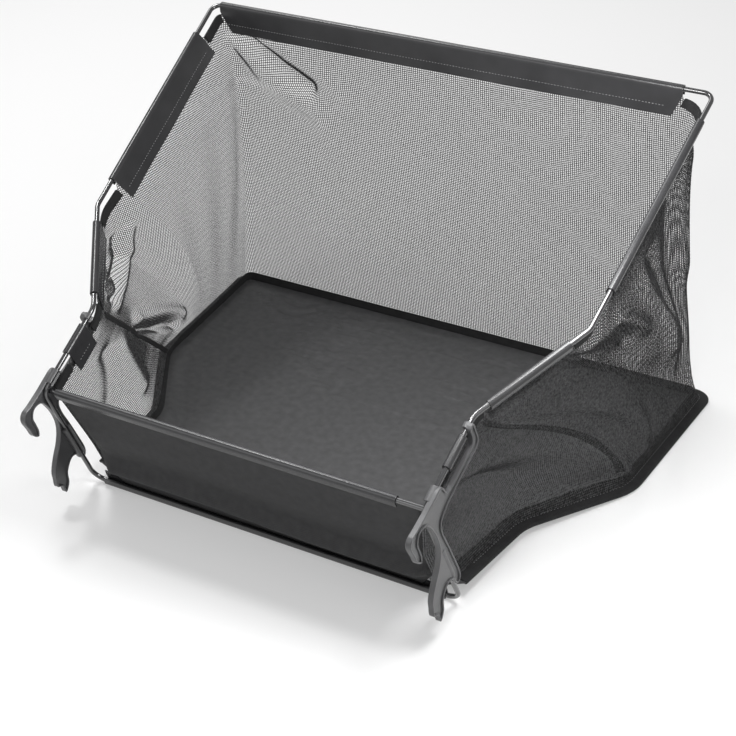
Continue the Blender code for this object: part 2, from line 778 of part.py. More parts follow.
def tool_cylinder(start, end, radius, collection):
    bm = bmesh.new()
    bmesh.ops.create_cone(bm, cap_ends=True, segments=20, radius1=radius,
                          radius2=radius, depth=(end - start).length)
    along = (end - start).normalized()
    turn = ZENITH.rotation_difference(along).to_matrix().to_4x4()
    bm.transform(Matrix.Translation((start + end) / 2) @ turn)
    mesh = bpy.data.meshes.new("tool")
    bm.to_mesh(mesh)
    bm.free()
    tool = bpy.data.objects.new("tool", mesh)
    collection.objects.link(tool)
    return tool


def tool_slot(start, end, normal, collection):
    """Box from a wire's centre out through its collar, against the normal."""
    along = (end - start).normalized()
    across = along.cross(normal).normalized()
    depth = WIRE_RADIUS + COLLAR_WALL + 0.003
    bm = bmesh.new()
    bmesh.ops.create_cube(bm, size=1)
    length = (end - start).length + 0.002
    bm.transform(frame_matrix((start + end) / 2 - normal * depth / 2, along, across)
                 @ Matrix.Diagonal((length, COLLAR_SLOT, depth, 1)))
    mesh = bpy.data.meshes.new("tool")
    bm.to_mesh(mesh)
    bm.free()
    tool = bpy.data.objects.new("tool", mesh)
    collection.objects.link(tool)
    return tool


def build_hooks(collection, cutters, look):
    foot, neck, knee = frame_corners()[:3]
    side_wire = (knee - neck).normalized()
    leg = (foot - neck).normalized()
    normal = side_wire.cross(leg).normalized()
    if normal.x < 0:
        normal = -normal
    place = frame_matrix(neck, side_wire, leg)
    cosine = side_wire.dot(leg)
    outline = hook_outline(cosine, math.sqrt(1 - cosine ** 2))
    up = place.to_3x3() @ ZENITH
    turn = 1 if up.dot(normal) > 0 else -1

    def plate(name, points, low, high):
        shifted = place @ Matrix.Translation((0, 0, turn * (low + high) / 2))
        return outline_object(name, [(p.x, p.y) for p in points], high - low, shifted,
                              collection, look)

    hook = plate("hook_right", outline, 0, HOOK_THICKNESS)
    pocket = inset(outline, HOOK_RIM)
    boolean(hook, plate("inner_pocket", pocket, -0.002, HOOK_POCKET), "DIFFERENCE")
    boolean(hook, plate("outer_pocket", pocket, HOOK_THICKNESS - HOOK_POCKET,
                        HOOK_THICKNESS + 0.002), "DIFFERENCE")
    collars = [(side_wire, SIDE_COLLAR), (side_wire, REAR_COLLAR), (leg, LEG_COLLAR)]
    for along, (start, end) in collars:
        boolean(hook, tool_cylinder(neck + along * start, neck + along * end,
                                    WIRE_RADIUS + FIT_GAP + COLLAR_WALL, cutters), "UNION")
    bend = corner_arc(foot, neck, knee, NECK_BEND, 8)
    groove = wire_curve("groove", [neck + leg * 0.135, *bend, neck + side_wire * 0.097],
                        False, cutters, look)
    groove.data.bevel_depth = WIRE_RADIUS + FIT_GAP
    groove = curve_to_mesh(groove, cutters, look)
    boolean(hook, groove, "DIFFERENCE")
    for along, (start, end) in collars:
        boolean(hook, tool_slot(neck + along * start, neck + along * end, normal, cutters),
                "DIFFERENCE")
    mirror = hook.data.copy()
    mirror.transform(Matrix.Diagonal((-1, 1, 1, 1)) @ hook.matrix_world)
    mirror.flip_normals()
    add_mesh("hook_left", mirror, collection, look)


def main():
    for obj in list(bpy.data.objects):
        bpy.data.objects.remove(obj)
    scene = bpy.context.scene
    collection = bpy.data.collections.new("grass_catcher")
    cutters = bpy.data.collections.new("cutters")
    scene.collection.children.link(collection)
    scene.collection.children.link(cutters)
    wire = material("coated wire", (0.02, 0.02, 0.022), 0.3)
    plastic = material("sleeve plastic", (0.02, 0.02, 0.022), 0.35)
    moulding = material("hook plastic", (0.04, 0.04, 0.042), 0.5)
    net = material("net", (0.10, 0.10, 0.105), 0.8)
    weave = material("closed weave", (0.05, 0.05, 0.052), 0.8)
    tape = material("binding tape", (0.01, 0.01, 0.011), 0.9)
    build_wires(collection, wire)
    build_sleeves(collection, plastic)
    wall = Wall()
    build_nets(wall, collection, net)
    build_front_panel(collection, weave)
    build_floor(wall, collection, weave)
    build_hem(wall, collection, tape)
    build_hooks(collection, cutters, moulding)


main()
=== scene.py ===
import math

import bmesh
import bpy
import numpy as np
from mathutils import Matrix, Vector


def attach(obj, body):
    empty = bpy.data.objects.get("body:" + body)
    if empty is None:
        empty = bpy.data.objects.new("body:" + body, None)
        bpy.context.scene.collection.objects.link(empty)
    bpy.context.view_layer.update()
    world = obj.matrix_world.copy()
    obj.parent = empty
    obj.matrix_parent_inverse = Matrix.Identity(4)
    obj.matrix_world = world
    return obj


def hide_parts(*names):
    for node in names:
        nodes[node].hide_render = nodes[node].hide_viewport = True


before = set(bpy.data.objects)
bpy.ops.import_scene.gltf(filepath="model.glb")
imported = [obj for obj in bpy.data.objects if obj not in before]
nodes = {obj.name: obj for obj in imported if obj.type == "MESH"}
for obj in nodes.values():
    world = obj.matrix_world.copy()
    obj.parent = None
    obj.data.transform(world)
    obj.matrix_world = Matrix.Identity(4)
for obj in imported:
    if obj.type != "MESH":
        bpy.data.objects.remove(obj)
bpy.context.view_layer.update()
print("frame loaded:", len(nodes), "nodes")

# Sizes in metres. x runs to the right, y to the back, z up; the cloth hangs from the wire.

wireShape = {
    "thick": 0.005,
    "frontY": -0.218,
    "footWidth": 0.414,
    "neckWidth": 0.401,
    "kneeWidth": 0.407,
    "shoulderWidth": 0.535,
    "rearWidth": 0.566,
    "legLength": 0.155,
    "legLean": math.radians(24.2),
    "mouthTilt": math.radians(26.6),
    "neckToKnee": 0.100,
    "kneeToShoulder": 0.113,
    "shoulderToRear": 0.2845,
    "bends": {"foot": 0.014, "neck": 0.009, "knee": 0.025, "shoulder": 0.014, "rear": 0.010},
}

sleeveShape = {
    "play": 0.00025,
    "wall": 0.0013,
    "lip": 0.0065,
    "strip": 0.028,
    "bottomStrip": 0.012,
    "ringStep": 0.006,
    "turnEnd": 0.002,
    "wave": 0.0004,
    "waveTurns": 57,
    "sewnFrom": 0.020,  # strips wider than this show a row of stitches
    "cuts": {"top": (0.014, 0.010), "upper": {"left": 0.002, "right": 0.010}, "front": (0.007, 0.007)},
    "short": (0.045, 0.033),  # start past its corner, length
    "mid": (0.017, 0.090),
    "upper": {"left": (0.033, 0.206), "right": (0.044, 0.206)},
    "top": (-0.010, 0.526),  # middle's x, length
    "front": (-0.0105, 0.363),
    "bottom": (0.0, 0.384),
}

clothShape = {
    "thick": 0.0010,
    "tape": 0.0007,
    "gap": 0.0003,
    "seat": 0.0045,
    "drop": 0.010,
    "dropRamp": 0.006,
    "rimStart": 0.012,
    "leans": {"short_right": 9, "mid_right": 9, "upper_right": 12, "top": 25, "upper_left": 25,
              "mid_left": -10, "short_left": 0},  # degrees inward
    "taut": ((1.34, 0), (1.42, 1)),  # from here on the left the net is pulled straight
    "hangInset": 0.020,
    "fallStart": 0.15,
    "fallEnd": 0.35,
    "cornerBow": (0.0025, -0.001),  # to the side and the front, where panel and net meet
    "tapeClear": 0.0006,
    "rimTape": 0.008,
    "seamTape": 0.007,
    "seamRidge": 0.0008,
    "rimRound": {"knee": 0.050, "shoulder": 0.040, "right": 0.026, "left": 0.0085},
    "floorWidths": (0.416, 0.440, 0.578, 0.604),  # hem's outer width at each corner
    "floorDepths": (0.012, 0.122, 0.234, 0.436),
    "floorLifts": (0.014, 0.007, 0, 0),
    "floorRounds": (0, 0.070, 0.060, 0.020),
    "hemWidth": 0.012,
    "hemUpstand": 0.011,
    "hemTuck": 0.004,
    "panelWidths": (0.330, 0.362, 0.356, 0.385),  # at these heights above the bottom wire
    "panelHeights": (0, 0.026, 0.060, 1),  # 1 stands for the cross wire
    "stripShare": 0.2,  # share of the way down a wall that the sleeve's strip takes
}

wireRadius = wireShape["thick"] / 2
sleeveInner = wireRadius + sleeveShape["play"]
sleeveOuter = sleeveInner + sleeveShape["wall"]
faceInset = sleeveInner - clothShape["gap"]  # cloth's inner face lies this far inside the wire's axis
footBase = 3 * clothShape["tape"] + clothShape["thick"] + 2 * clothShape["gap"]
tilt = wireShape["mouthTilt"]
slope = np.array([0, math.cos(tilt), math.sin(tilt)])
mouthUp = np.array([0, -math.sin(tilt), math.cos(tilt)])
below = -mouthUp
zenith = np.array([0.0, 0.0, 1.0])
across = np.array([1.0, 0.0, 0.0])
sides = {"left": -1, "right": 1}
flip = np.array([-1.0, 1.0, 1.0])


def unit(v):
    # each vector divided by its length
    return v / np.linalg.norm(v, axis=-1, keepdims=True)


def lengthsAlong(path):
    # distance from the path's first point to each point, as a running sum of its steps
    step = np.linalg.norm(np.diff(np.asarray(path, float), axis=0), axis=1)
    return np.concatenate([[0], np.cumsum(step)])


def sample(at, run, values):
    # every column of values, in a straight line between the marks of run
    return np.stack([np.interp(at, run, column) for column in np.transpose(values)], -1)


def mirrored(right):
    # the right side's points, then their mirror images back to the start
    return right + [p * flip for p in right[::-1]]


def newObject(name, data):
    # an object of the scene that shows the data
    obj = bpy.data.objects.new(name, data)
    bpy.context.scene.collection.objects.link(obj)
    return obj


# Camera and light

cameraSet = {
    "place": (0.683109, -1.233837, 0.967946),
    "azimuth": 29.239,
    "elevation": 32.442,
    "roll": -1.094,
    "focalPixels": 1600.0,
    "framePixels": 736.0,
}


def makeCamera():
    # looks from its place along minus back; the roll turns right and up about back
    a, e, r = (math.radians(cameraSet[k]) for k in ("azimuth", "elevation", "roll"))
    back = Vector((math.sin(a) * math.cos(e), -math.cos(a) * math.cos(e), math.sin(e)))
    right = Vector((math.cos(a), math.sin(a), 0))
    up = back.cross(right)
    turned = (right * math.cos(r) + up * math.sin(r), up * math.cos(r) - right * math.sin(r), back)
    data = bpy.data.cameras.new("photoCamera")
    data.sensor_width = 36
    data.lens = cameraSet["focalPixels"] * data.sensor_width / cameraSet["framePixels"]
    camera = newObject("photoCamera", data)
    camera.matrix_world = Matrix.Translation(cameraSet["place"]) @ Matrix(turned).transposed().to_4x4()
    bpy.context.scene.camera = camera


lightSet = {
    "world": 0.55,
    "floorColour": 0.62,
    "floorGlow": 0.30,
    "floorHalf": 6.0,
    "floorDrop": 0.0004,
    "lamps": {
        "key": ((-1.1, 1.0, 1.9), 1.4, 17, (0, 0, 0.15)),  # place, size, watts, aim
        "edge": ((-0.91, 0.05, 2.0), 0.28, 11, (0, 0, 0.15)),
        "fill": ((1.6, -1.2, 1.5), 1.8, 11, (0, 0, 0.15)),
        "front": ((-1.0, -1.9, 1.2), 1.4, 10, (0, 0, 0.15)),
        "inside": ((0.24, -0.12, 0.50), 0.20, 2.6, (0.18, -0.13, 0)),
    },
}


def setSocket(tree, socket, value):
    # a plug is linked, a plain value is set
    if isinstance(value, bpy.types.NodeSocket):
        tree.links.new(value, socket)
    else:
        socket.default_value = value


def addNode(tree, kind, *inputs, **named):
    # a node of that kind with its sockets linked or set, in order or by name
    node = tree.nodes.new(kind)
    for socket, value in [*zip(node.inputs, inputs), *((node.inputs[k], v) for k, v in named.items())]:
        setSocket(tree, socket, value)
    return node


def mathNode(tree, operation, *inputs):
    # one operation on plugs and plain numbers
    node = addNode(tree, "ShaderNodeMath", *inputs)
    node.operation = operation
    return node.outputs[0]


def emptyTree(owner):
    # the node tree of a material or world, cleared of its nodes
    owner.use_nodes = True
    owner.node_tree.nodes.clear()
    return owner.node_tree


def cameraSees(tree):
    # 1 for rays that the eye follows: straight, mirrored or through glass
    path = addNode(tree, "ShaderNodeLightPath").outputs
    seen = mathNode(tree, "MAXIMUM", path["Is Camera Ray"], path["Is Glossy Ray"])
    return mathNode(tree, "MAXIMUM", seen, path["Is Transmission Ray"])


def makeFloorPaper():
    # a wide square of pale paper; its glow shows in the eye's own rays only
    half, low = lightSet["floorHalf"], -lightSet["floorDrop"]
    floorMesh = bpy.data.meshes.new("studioFloor")
    floorMesh.from_pydata([(-half, -half, low), (half, -half, low), (half, half, low), (-half, half, low)],
                          [], [(0, 1, 2, 3)])
    mat = bpy.data.materials.new("palePaper")
    tree = emptyTree(mat)
    paper = addNode(tree, "ShaderNodeBsdfDiffuse", (lightSet["floorColour"],) * 3 + (1,))
    strength = mathNode(tree, "MULTIPLY", cameraSees(tree), lightSet["floorGlow"])
    glow = addNode(tree, "ShaderNodeEmission", Strength=strength)
    both = addNode(tree, "ShaderNodeAddShader", paper.outputs[0], glow.outputs[0])
    addNode(tree, "ShaderNodeOutputMaterial", Surface=both.outputs[0])
    floorMesh.materials.append(mat)
    newObject("studioFloor", floorMesh)


def makeWorld():
    # white to the camera, and the world's share of that as a light
    world = bpy.data.worlds.new("studio")
    bpy.context.scene.world = world
    tree = emptyTree(world)
    seen = addNode(tree, "ShaderNodeLightPath").outputs["Is Camera Ray"]
    strength = mathNode(tree, "MULTIPLY_ADD", seen, 1 - lightSet["world"], lightSet["world"])
    glow = addNode(tree, "ShaderNodeBackground", Strength=strength)
    addNode(tree, "ShaderNodeOutputWorld", Surface=glow.outputs[0])


def makeLamps():
    # square lamps, each turned from its place toward its aim, and the plain view
    for name, (place, size, watts, aim) in lightSet["lamps"].items():
        lamp = bpy.data.lights.new(name, "AREA")
        lamp.size = size
        lamp.energy = watts
        turn = (Vector(aim) - Vector(place)).to_track_quat("-Z", "Y").to_matrix().to_4x4()
        newObject(name, lamp).matrix_world = Matrix.Translation(place) @ turn
    bpy.context.scene.view_settings.view_transform = "Standard"


makeCamera()
makeFloorPaper()
makeWorld()
makeLamps()
print("camera, floor and lights")


# Materials

def patternPlaces(tree, scale, uvName=None):
    # places on the object, or on its own UV map, times the scale
    source = addNode(tree, "ShaderNodeUVMap" if uvName else "ShaderNodeTexCoord")
    if uvName:
        source.uv_map = uvName
    places = source.outputs["UV" if uvName else "Object"]
    return addNode(tree, "ShaderNodeMapping", Vector=places, Scale=(scale,) * 3).outputs["Vector"]


def newMaterial(name, light, roughness, **sockets):
    # the usual surface shader, with its colour, roughness and named sockets set
    mat = bpy.data.materials.new(name)
    mat.use_nodes = True
    shader = mat.node_tree.nodes["Principled BSDF"]
    for socket, value in {"Base Color": (*light, 1), "Roughness": roughness, **sockets}.items():
        shader.inputs[socket].default_value = value
    return mat


def linkPattern(mat, factor, dark, light, low, high, height, depth):
    # colour from dark to light as the factor rises from low to high; the normal tilts by the slope
    # of the height, whose full range stands the depth high
    tree = mat.node_tree
    ramp = addNode(tree, "ShaderNodeValToRGB", Fac=factor)
    for element, colour, place in zip(ramp.color_ramp.elements, (dark, light), (low, high)):
        element.color = (*colour, 1)
        element.position = place
    bump = addNode(tree, "ShaderNodeBump", Height=height, Distance=depth, Strength=1.0)
    shader = tree.nodes["Principled BSDF"]
    tree.links.new(ramp.outputs["Color"], shader.inputs["Base Color"])
    tree.links.new(bump.outputs["Normal"], shader.inputs["Normal"])


def grainMaterial(name, dark, light, roughness, grain, bump, drifts=40, contrast=0.5, **sockets):
    # plastic or paint: a slow drift in the colour and a fine grain in the bump
    mat = newMaterial(name, light, roughness, **sockets)
    tree = mat.node_tree
    drift, fine = (addNode(tree, "ShaderNodeTexNoise", Vector=patternPlaces(tree, scale), Scale=1.0,
                           Detail=detail).outputs["Fac"] for scale, detail in ((drifts, 2.0), (grain, 3.0)))
    linkPattern(mat, drift, dark, light, 0.5 - contrast, 0.5 + contrast, fine, bump)
    return mat


weaveLook = {
    "mottles": 120.0,  # a metre
    "threadShare": 0.45,  # how much the threads count beside the mottle
    "range": (0.3, 1.0),
    "waveUnit": 20,  # a wave texture turns through this angle in a unit
}


def weaveMaterial(name, dark, light, roughness, pitch, depth):
    # closed weave: the product of two crossed waves on the cloth's own UV, which is in metres,
    # with a mottle added to it in the colour
    mat = newMaterial(name, light, roughness)
    tree = mat.node_tree
    uv = patternPlaces(tree, 1, "cloth")
    waves = [addNode(tree, "ShaderNodeTexWave", Vector=uv, Scale=math.pi * 2 / pitch / weaveLook["waveUnit"])
             for direction in range(2)]
    for wave, direction in zip(waves, "XY"):
        wave.wave_type = "BANDS"
        wave.bands_direction = direction
    both = mathNode(tree, "MULTIPLY", *(wave.outputs["Fac"] for wave in waves))
    mottle = addNode(tree, "ShaderNodeTexNoise", Vector=uv, Scale=weaveLook["mottles"], Detail=4.0)
    total = mathNode(tree, "MULTIPLY_ADD", both, weaveLook["threadShare"], mottle.outputs["Fac"])
    linkPattern(mat, total, dark, light, *weaveLook["range"], both, depth)
    return mat


# darkest and lightest colour, roughness, then grains a metre and their depth, or a weave's pitch
# and depth
finishes = {
    "wire": grainMaterial("blackCoatedWire", (0.012, 0.012, 0.013), (0.026, 0.026, 0.028),
                          0.15, 900, 0.00002, **{"Specular IOR Level": 1.0, "Coat Weight": 0.7}),
    "sleeve": grainMaterial("sleevePlastic", (0.020, 0.020, 0.021), (0.038, 0.038, 0.040),
                            0.25, 700, 0.00006),
    "hook": grainMaterial("hookPlastic", (0.060, 0.060, 0.062), (0.096, 0.096, 0.099),
                          0.33, 1400, 0.00010),
    "net": grainMaterial("netYarn", (0.010, 0.010, 0.0105), (0.112, 0.112, 0.114),
                         0.65, 1500, 0.0001, drifts=380, contrast=0.16),
    "weave": weaveMaterial("closedWeave", (0.018, 0.018, 0.019), (0.040, 0.040, 0.041),
                           0.75, 0.0012, 0.0002),
    "ground": weaveMaterial("floorWeave", (0.036, 0.036, 0.037), (0.072, 0.072, 0.074),
                            0.62, 0.0012, 0.0002),
    "tape": weaveMaterial("bindingTape", (0.004, 0.004, 0.0045), (0.018, 0.018, 0.0185),
                          0.85, 0.0009, 0.00025),
    "thread": grainMaterial("sewingThread", (0.16, 0.16, 0.163), (0.34, 0.34, 0.345),
                            0.6, 3000, 0.00005),
}
print("materials")


# Mesh helpers

def meshFrom(name, points, faces, finish, smooth=True):
    # an object at the origin; faces of one length come as an array, mixed ones as lists
    mesh = bpy.data.meshes.new(name)
    mesh.from_pydata(np.reshape(points, (-1, 3)), [], faces if isinstance(faces, list) else faces.tolist())
    mesh.update()
    if smooth:
        mesh.shade_smooth()
    mesh.materials.append(finishes[finish])
    return newObject(name, mesh)


def outwardFaces(obj):
    # every face of a closed solid wound so that its normal points out
    bm = bmesh.new()
    bm.from_mesh(obj.data)
    bmesh.ops.recalc_face_normals(bm, faces=bm.faces)
    bm.to_mesh(obj.data)
    bm.free()


def solidFrom(name, points, faces, finish, sharp=None):
    # closed solid, smooth across edges that turn by less than the sharp angle in degrees
    obj = meshFrom(name, points, faces, finish)
    if sharp:
        obj.data.set_sharp_from_angle(angle=math.radians(sharp))
    outwardFaces(obj)
    return obj


def gridFaces(rows, columns, wrap=False):
    # quads of a rows by columns grid; wrap joins the last column to the first
    r, c = np.meshgrid(np.arange(rows - 1), np.arange(columns if wrap else columns - 1), indexing="ij")
    n = (c + 1) % columns
    return np.stack([r * columns + c, r * columns + n, (r + 1) * columns + n, (r + 1) * columns + c],
                    -1).reshape(-1, 4)


def ringFaces(count, around, closed=False):
    # quads from ring to ring; the last ring joins the first, or else each end gets one flat face
    if closed:
        return (gridFaces(count + 1, around, wrap=True) % (count * around)).tolist()
    caps = [list(range(around))[::-1], list(range((count - 1) * around, count * around))]
    return gridFaces(count, around, wrap=True).tolist() + caps


def addUV(obj, uv):
    # a UV place for each point, given to every corner that meets there
    layer = obj.data.uv_layers.new(name="cloth")
    index = np.zeros(len(obj.data.loops), np.int32)
    obj.data.loops.foreach_get("vertex_index", index)
    layer.data.foreach_set("uv", np.asarray(uv, np.float32).reshape(-1, 2)[index].ravel())


def finishPiece(obj, slot, *replaced):
    # hides the solid it replaces if any, and hangs the piece on the root body it rides on; the slot is not
    # used
    if replaced:
        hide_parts(*replaced)
    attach(obj, "root")


# Wires

def cornerArc(before, corner, after, radius, steps):
    # arc that touches both legs of a corner, as points at even angles
    back, ahead = unit(before - corner), unit(after - corner)
    half = math.acos(np.clip(back @ ahead, -1, 1)) / 2
    centre = corner + unit(back + ahead) * radius / math.sin(half)
    spoke = corner + back * radius / math.tan(half) - centre
    axis = unit(np.cross(spoke, corner - centre))
    angle = np.linspace(0, math.pi - 2 * half, steps + 1)[:, None]
    return centre + spoke * np.cos(angle) + np.cross(axis, spoke) * np.sin(angle)


legDown = np.array([0, math.sin(wireShape["legLean"]), -math.cos(wireShape["legLean"])])


def wireCorners():
    # right side's corners: up the leg from the foot, then along the mouth's slope run by run
    s = wireShape
    foot = np.array([s["footWidth"] / 2, s["frontY"], sleeveOuter])
    neck = foot - legDown * s["legLength"]
    neck[0] = s["neckWidth"] / 2
    corners = {"foot": foot, "neck": neck}
    run = 0
    for name, step in (("knee", "neckToKnee"), ("shoulder", "kneeToShoulder"), ("rear", "shoulderToRear")):
        run += s[step]
        corners[name] = neck + slope * run
        corners[name][0] = s[name + "Width"] / 2
    return corners


corners = wireCorners()
neckHalf = math.acos(slope @ legDown) / 2
# the cross wire lies inside the neck bends, on the line that halves their angle
crossWire = corners["neck"] + unit(slope + legDown) * (
    wireShape["bends"]["neck"] / math.sin(neckHalf) - wireShape["bends"]["neck"]
    + wireShape["thick"] + clothShape["gap"])
crossWire[0] = 0
bottomWire = np.array([0, wireShape["frontY"], sleeveOuter])
panelDown = unit(bottomWire - crossWire)
panelOut = unit(np.cross(panelDown, across))
panelFull = np.linalg.norm(bottomWire - crossWire)


def tubeAlong(name, path, radius, closed, finish, around=20):
    # circle carried along a path, kept upright by turning each ring from the last
    path = np.asarray(path, float)
    count = len(path)
    ahead = np.roll(path, -1, 0) - path
    behind = path - np.roll(path, 1, 0)
    if not closed:
        ahead[-1], behind[0] = behind[-1], ahead[0]
    tangent = unit(unit(ahead) + unit(behind))
    normal = np.zeros_like(path)
    aside = np.array([0.31, 0.22, 0.93])  # any direction that no wire starts along
    normal[0] = unit(np.cross(tangent[0], aside))
    for i in range(1, count):
        normal[i] = unit(normal[i - 1] - tangent[i] * (normal[i - 1] @ tangent[i]))
    binormal = np.cross(tangent, normal)
    twist = np.zeros(count)
    if closed:
        last = unit(normal[-1] - tangent[0] * (normal[-1] @ tangent[0]))
        gap = math.atan2(last @ binormal[0], last @ normal[0])
        twist = -gap * np.arange(count) / count
    angle = np.linspace(0, 2 * math.pi, around, endpoint=False)[None, :] + twist[:, None]
    rings = path[:, None] + radius * (normal[:, None] * np.cos(angle)[..., None]
                                      + binormal[:, None] * np.sin(angle)[..., None])
    return solidFrom(name, rings, ringFaces(count, around, closed), finish, None if closed else 50)


def makeWires():
    # the loop's ten corners rounded and carried round by a circle, and the straight cross wire
    bends = list(wireShape["bends"].values())
    bends += bends[::-1]
    right = [corners[k] for k in wireShape["bends"]]
    loop = mirrored(right)
    path = [cornerArc(before, corner, after, radius, 10)
            for before, corner, after, radius in zip(loop[-1:] + loop, loop, loop[1:] + loop[:1], bends)]
    frameWire = tubeAlong("frameWire", np.concatenate(path), wireRadius, True, "wire")
    finishPiece(frameWire, "wire", "frame_wire")
    end = across * (wireShape["neckWidth"] / 2 - 2 * clothShape["gap"])
    cross = tubeAlong("crossWire", [crossWire - end, crossWire, crossWire + end], wireRadius, False, "wire")
    finishPiece(cross, "wire", "cross_wire")


makeWires()
print("wires")


# Cloth walls

def edgeLine(points, radii, up, ramp=0.05, shortest=2.2, steps=8):
    # path with rounded corners: distance, point, inward normal and mitred normal of each sample. The
    # mitre leans by the tangent of half the turn and fades over the ramp, or over the run's length
    # divided by shortest.
    last = len(points) - 1
    arcs = [points[0][None]]
    arcs += [cornerArc(points[i - 1], points[i], points[i + 1], radii[i], steps) for i in range(1, last)]
    arcs += [points[last][None]]
    legs = [unit(points[i + 1] - points[i]) for i in range(last)]
    turns = [0.0] * (last + 1)
    for i in range(1, last):
        swing = math.acos(np.clip(legs[i - 1] @ legs[i], -1, 1))
        turns[i] = math.copysign(math.tan(swing / 2), up @ np.cross(legs[i - 1], legs[i]))
    rows, spans = [], []
    for i in range(last):
        inward = unit(np.cross(up, legs[i]))
        run = np.linalg.norm(arcs[i + 1][0] - arcs[i][-1])
        bend = min(ramp, run / shortest)
        for place, skew in ((0, turns[i]), (bend, 0), (run - bend, 0), (run, -turns[i + 1])):
            rows.append(np.concatenate([arcs[i][-1] + legs[i] * place, inward, inward + legs[i] * skew]))
        if i + 1 < last:
            following = unit(np.cross(up, legs[i + 1]))
            mitre = inward - legs[i] * turns[i + 1]
            spans.append([len(rows) - 1, len(rows) - 1 + steps])
            for k in range(1, steps):
                swing = math.acos(np.clip(inward @ following, -1, 1))
                normal = (inward * math.sin(swing * (1 - k / steps))
                          + following * math.sin(swing * k / steps))
                rows.append(np.concatenate([arcs[i + 1][k], normal / math.sin(swing), mitre]))
    table = np.array(rows)
    distance = lengthsAlong(table[:, :3])
    reach = [0.0] + [np.linalg.norm(arcs[i][0] - points[i]) for i in range(1, last)]
    return {"table": table, "distance": distance, "reach": reach,
            "arcs": [(distance[a], distance[b]) for a, b in spans], "length": distance[-1]}


def onLine(line, d):
    # point, inward normal and mitre of a line at distances along it
    row = sample(d, line["distance"], line["table"])
    return row[..., 0:3], unit(row[..., 3:6]), row[..., 6:9]


def legDistance(line, corner, run):
    # distance along the line of a place a run past a corner: the arc cuts the corner off
    return run if corner == 0 else line["arcs"][corner - 1][1] + run - line["reach"][corner]


def rimLine():
    # cloth's upper edge, from the right neck round the rear to the left neck
    start = corners["neck"] + unit(corners["knee"] - corners["neck"]) * clothShape["rimStart"]
    right = [start, corners["knee"], corners["shoulder"], corners["rear"]]
    r = clothShape["rimRound"]
    radii = [0, r["knee"], r["shoulder"], r["right"], r["left"], r["shoulder"], r["knee"], 0]
    return edgeLine(mirrored(right), radii, mouthUp)


def footLine():
    # cloth's lower edge round the floor, the hem's width inside its outer edge
    c = clothShape
    right = []
    for width, depth, lift in zip(c["floorWidths"], c["floorDepths"], c["floorLifts"]):
        back = c["hemWidth"] if depth == c["floorDepths"][-1] else 0
        right.append(np.array([width / 2 - c["hemWidth"], wireShape["frontY"] + depth - back,
                               footBase + lift]))
    radii = list(c["floorRounds"])
    radii[3] -= c["hemWidth"]
    return edgeLine(mirrored(right), radii + radii[::-1], zenith)


def sleeveSpans(rim):
    # start and end of each sleeve's hold along the rim; on the left a leg is walked from its far end
    s, c = sleeveShape, clothShape
    legs = [np.linalg.norm(corners["knee"] - corners["neck"]) - c["rimStart"],
            np.linalg.norm(corners["shoulder"] - corners["knee"]),
            np.linalg.norm(corners["rear"] - corners["shoulder"])]
    spans = []
    for side in sides:
        held = [(s["short"][0] - c["rimStart"], s["short"][1]), s["mid"], s["upper"][side]]
        for corner, (start, length) in enumerate(held):
            if side == "left":
                corner, start = 6 - corner, legs[corner] - start - length
            spans.append([legDistance(rim, corner, start), legDistance(rim, corner, start + length)])
    start = wireShape["rearWidth"] / 2 - s["top"][1] / 2 - s["top"][0]
    spans.append([legDistance(rim, 3, start), legDistance(rim, 3, start + s["top"][1])])
    return sorted(spans)


rim, foot = rimLine(), footLine()
spans = sleeveSpans(rim)
seams = (rim["arcs"][0][1], rim["arcs"][5][0])
rimKeys = [0, seams[0], *rim["arcs"][2], *rim["arcs"][3], seams[1], rim["length"]]
footKeys = [0, sum(foot["arcs"][1]) / 2, *foot["arcs"][2], *foot["arcs"][3], sum(foot["arcs"][4]) / 2,
            foot["length"]]
leanKeys = np.ravel(spans)
leanNames = ("short_right", "mid_right", "upper_right", "top", "upper_left", "mid_left", "short_left")
leans = np.radians([clothShape["leans"][name] for name in leanNames for end in range(2)])
ramp = clothShape["dropRamp"]
dropKeys = np.ravel([[a - ramp, a, b, b + ramp] for a, b in spans])
drops = [clothShape["drop"], clothShape["seat"], clothShape["seat"], clothShape["drop"]] * len(spans)


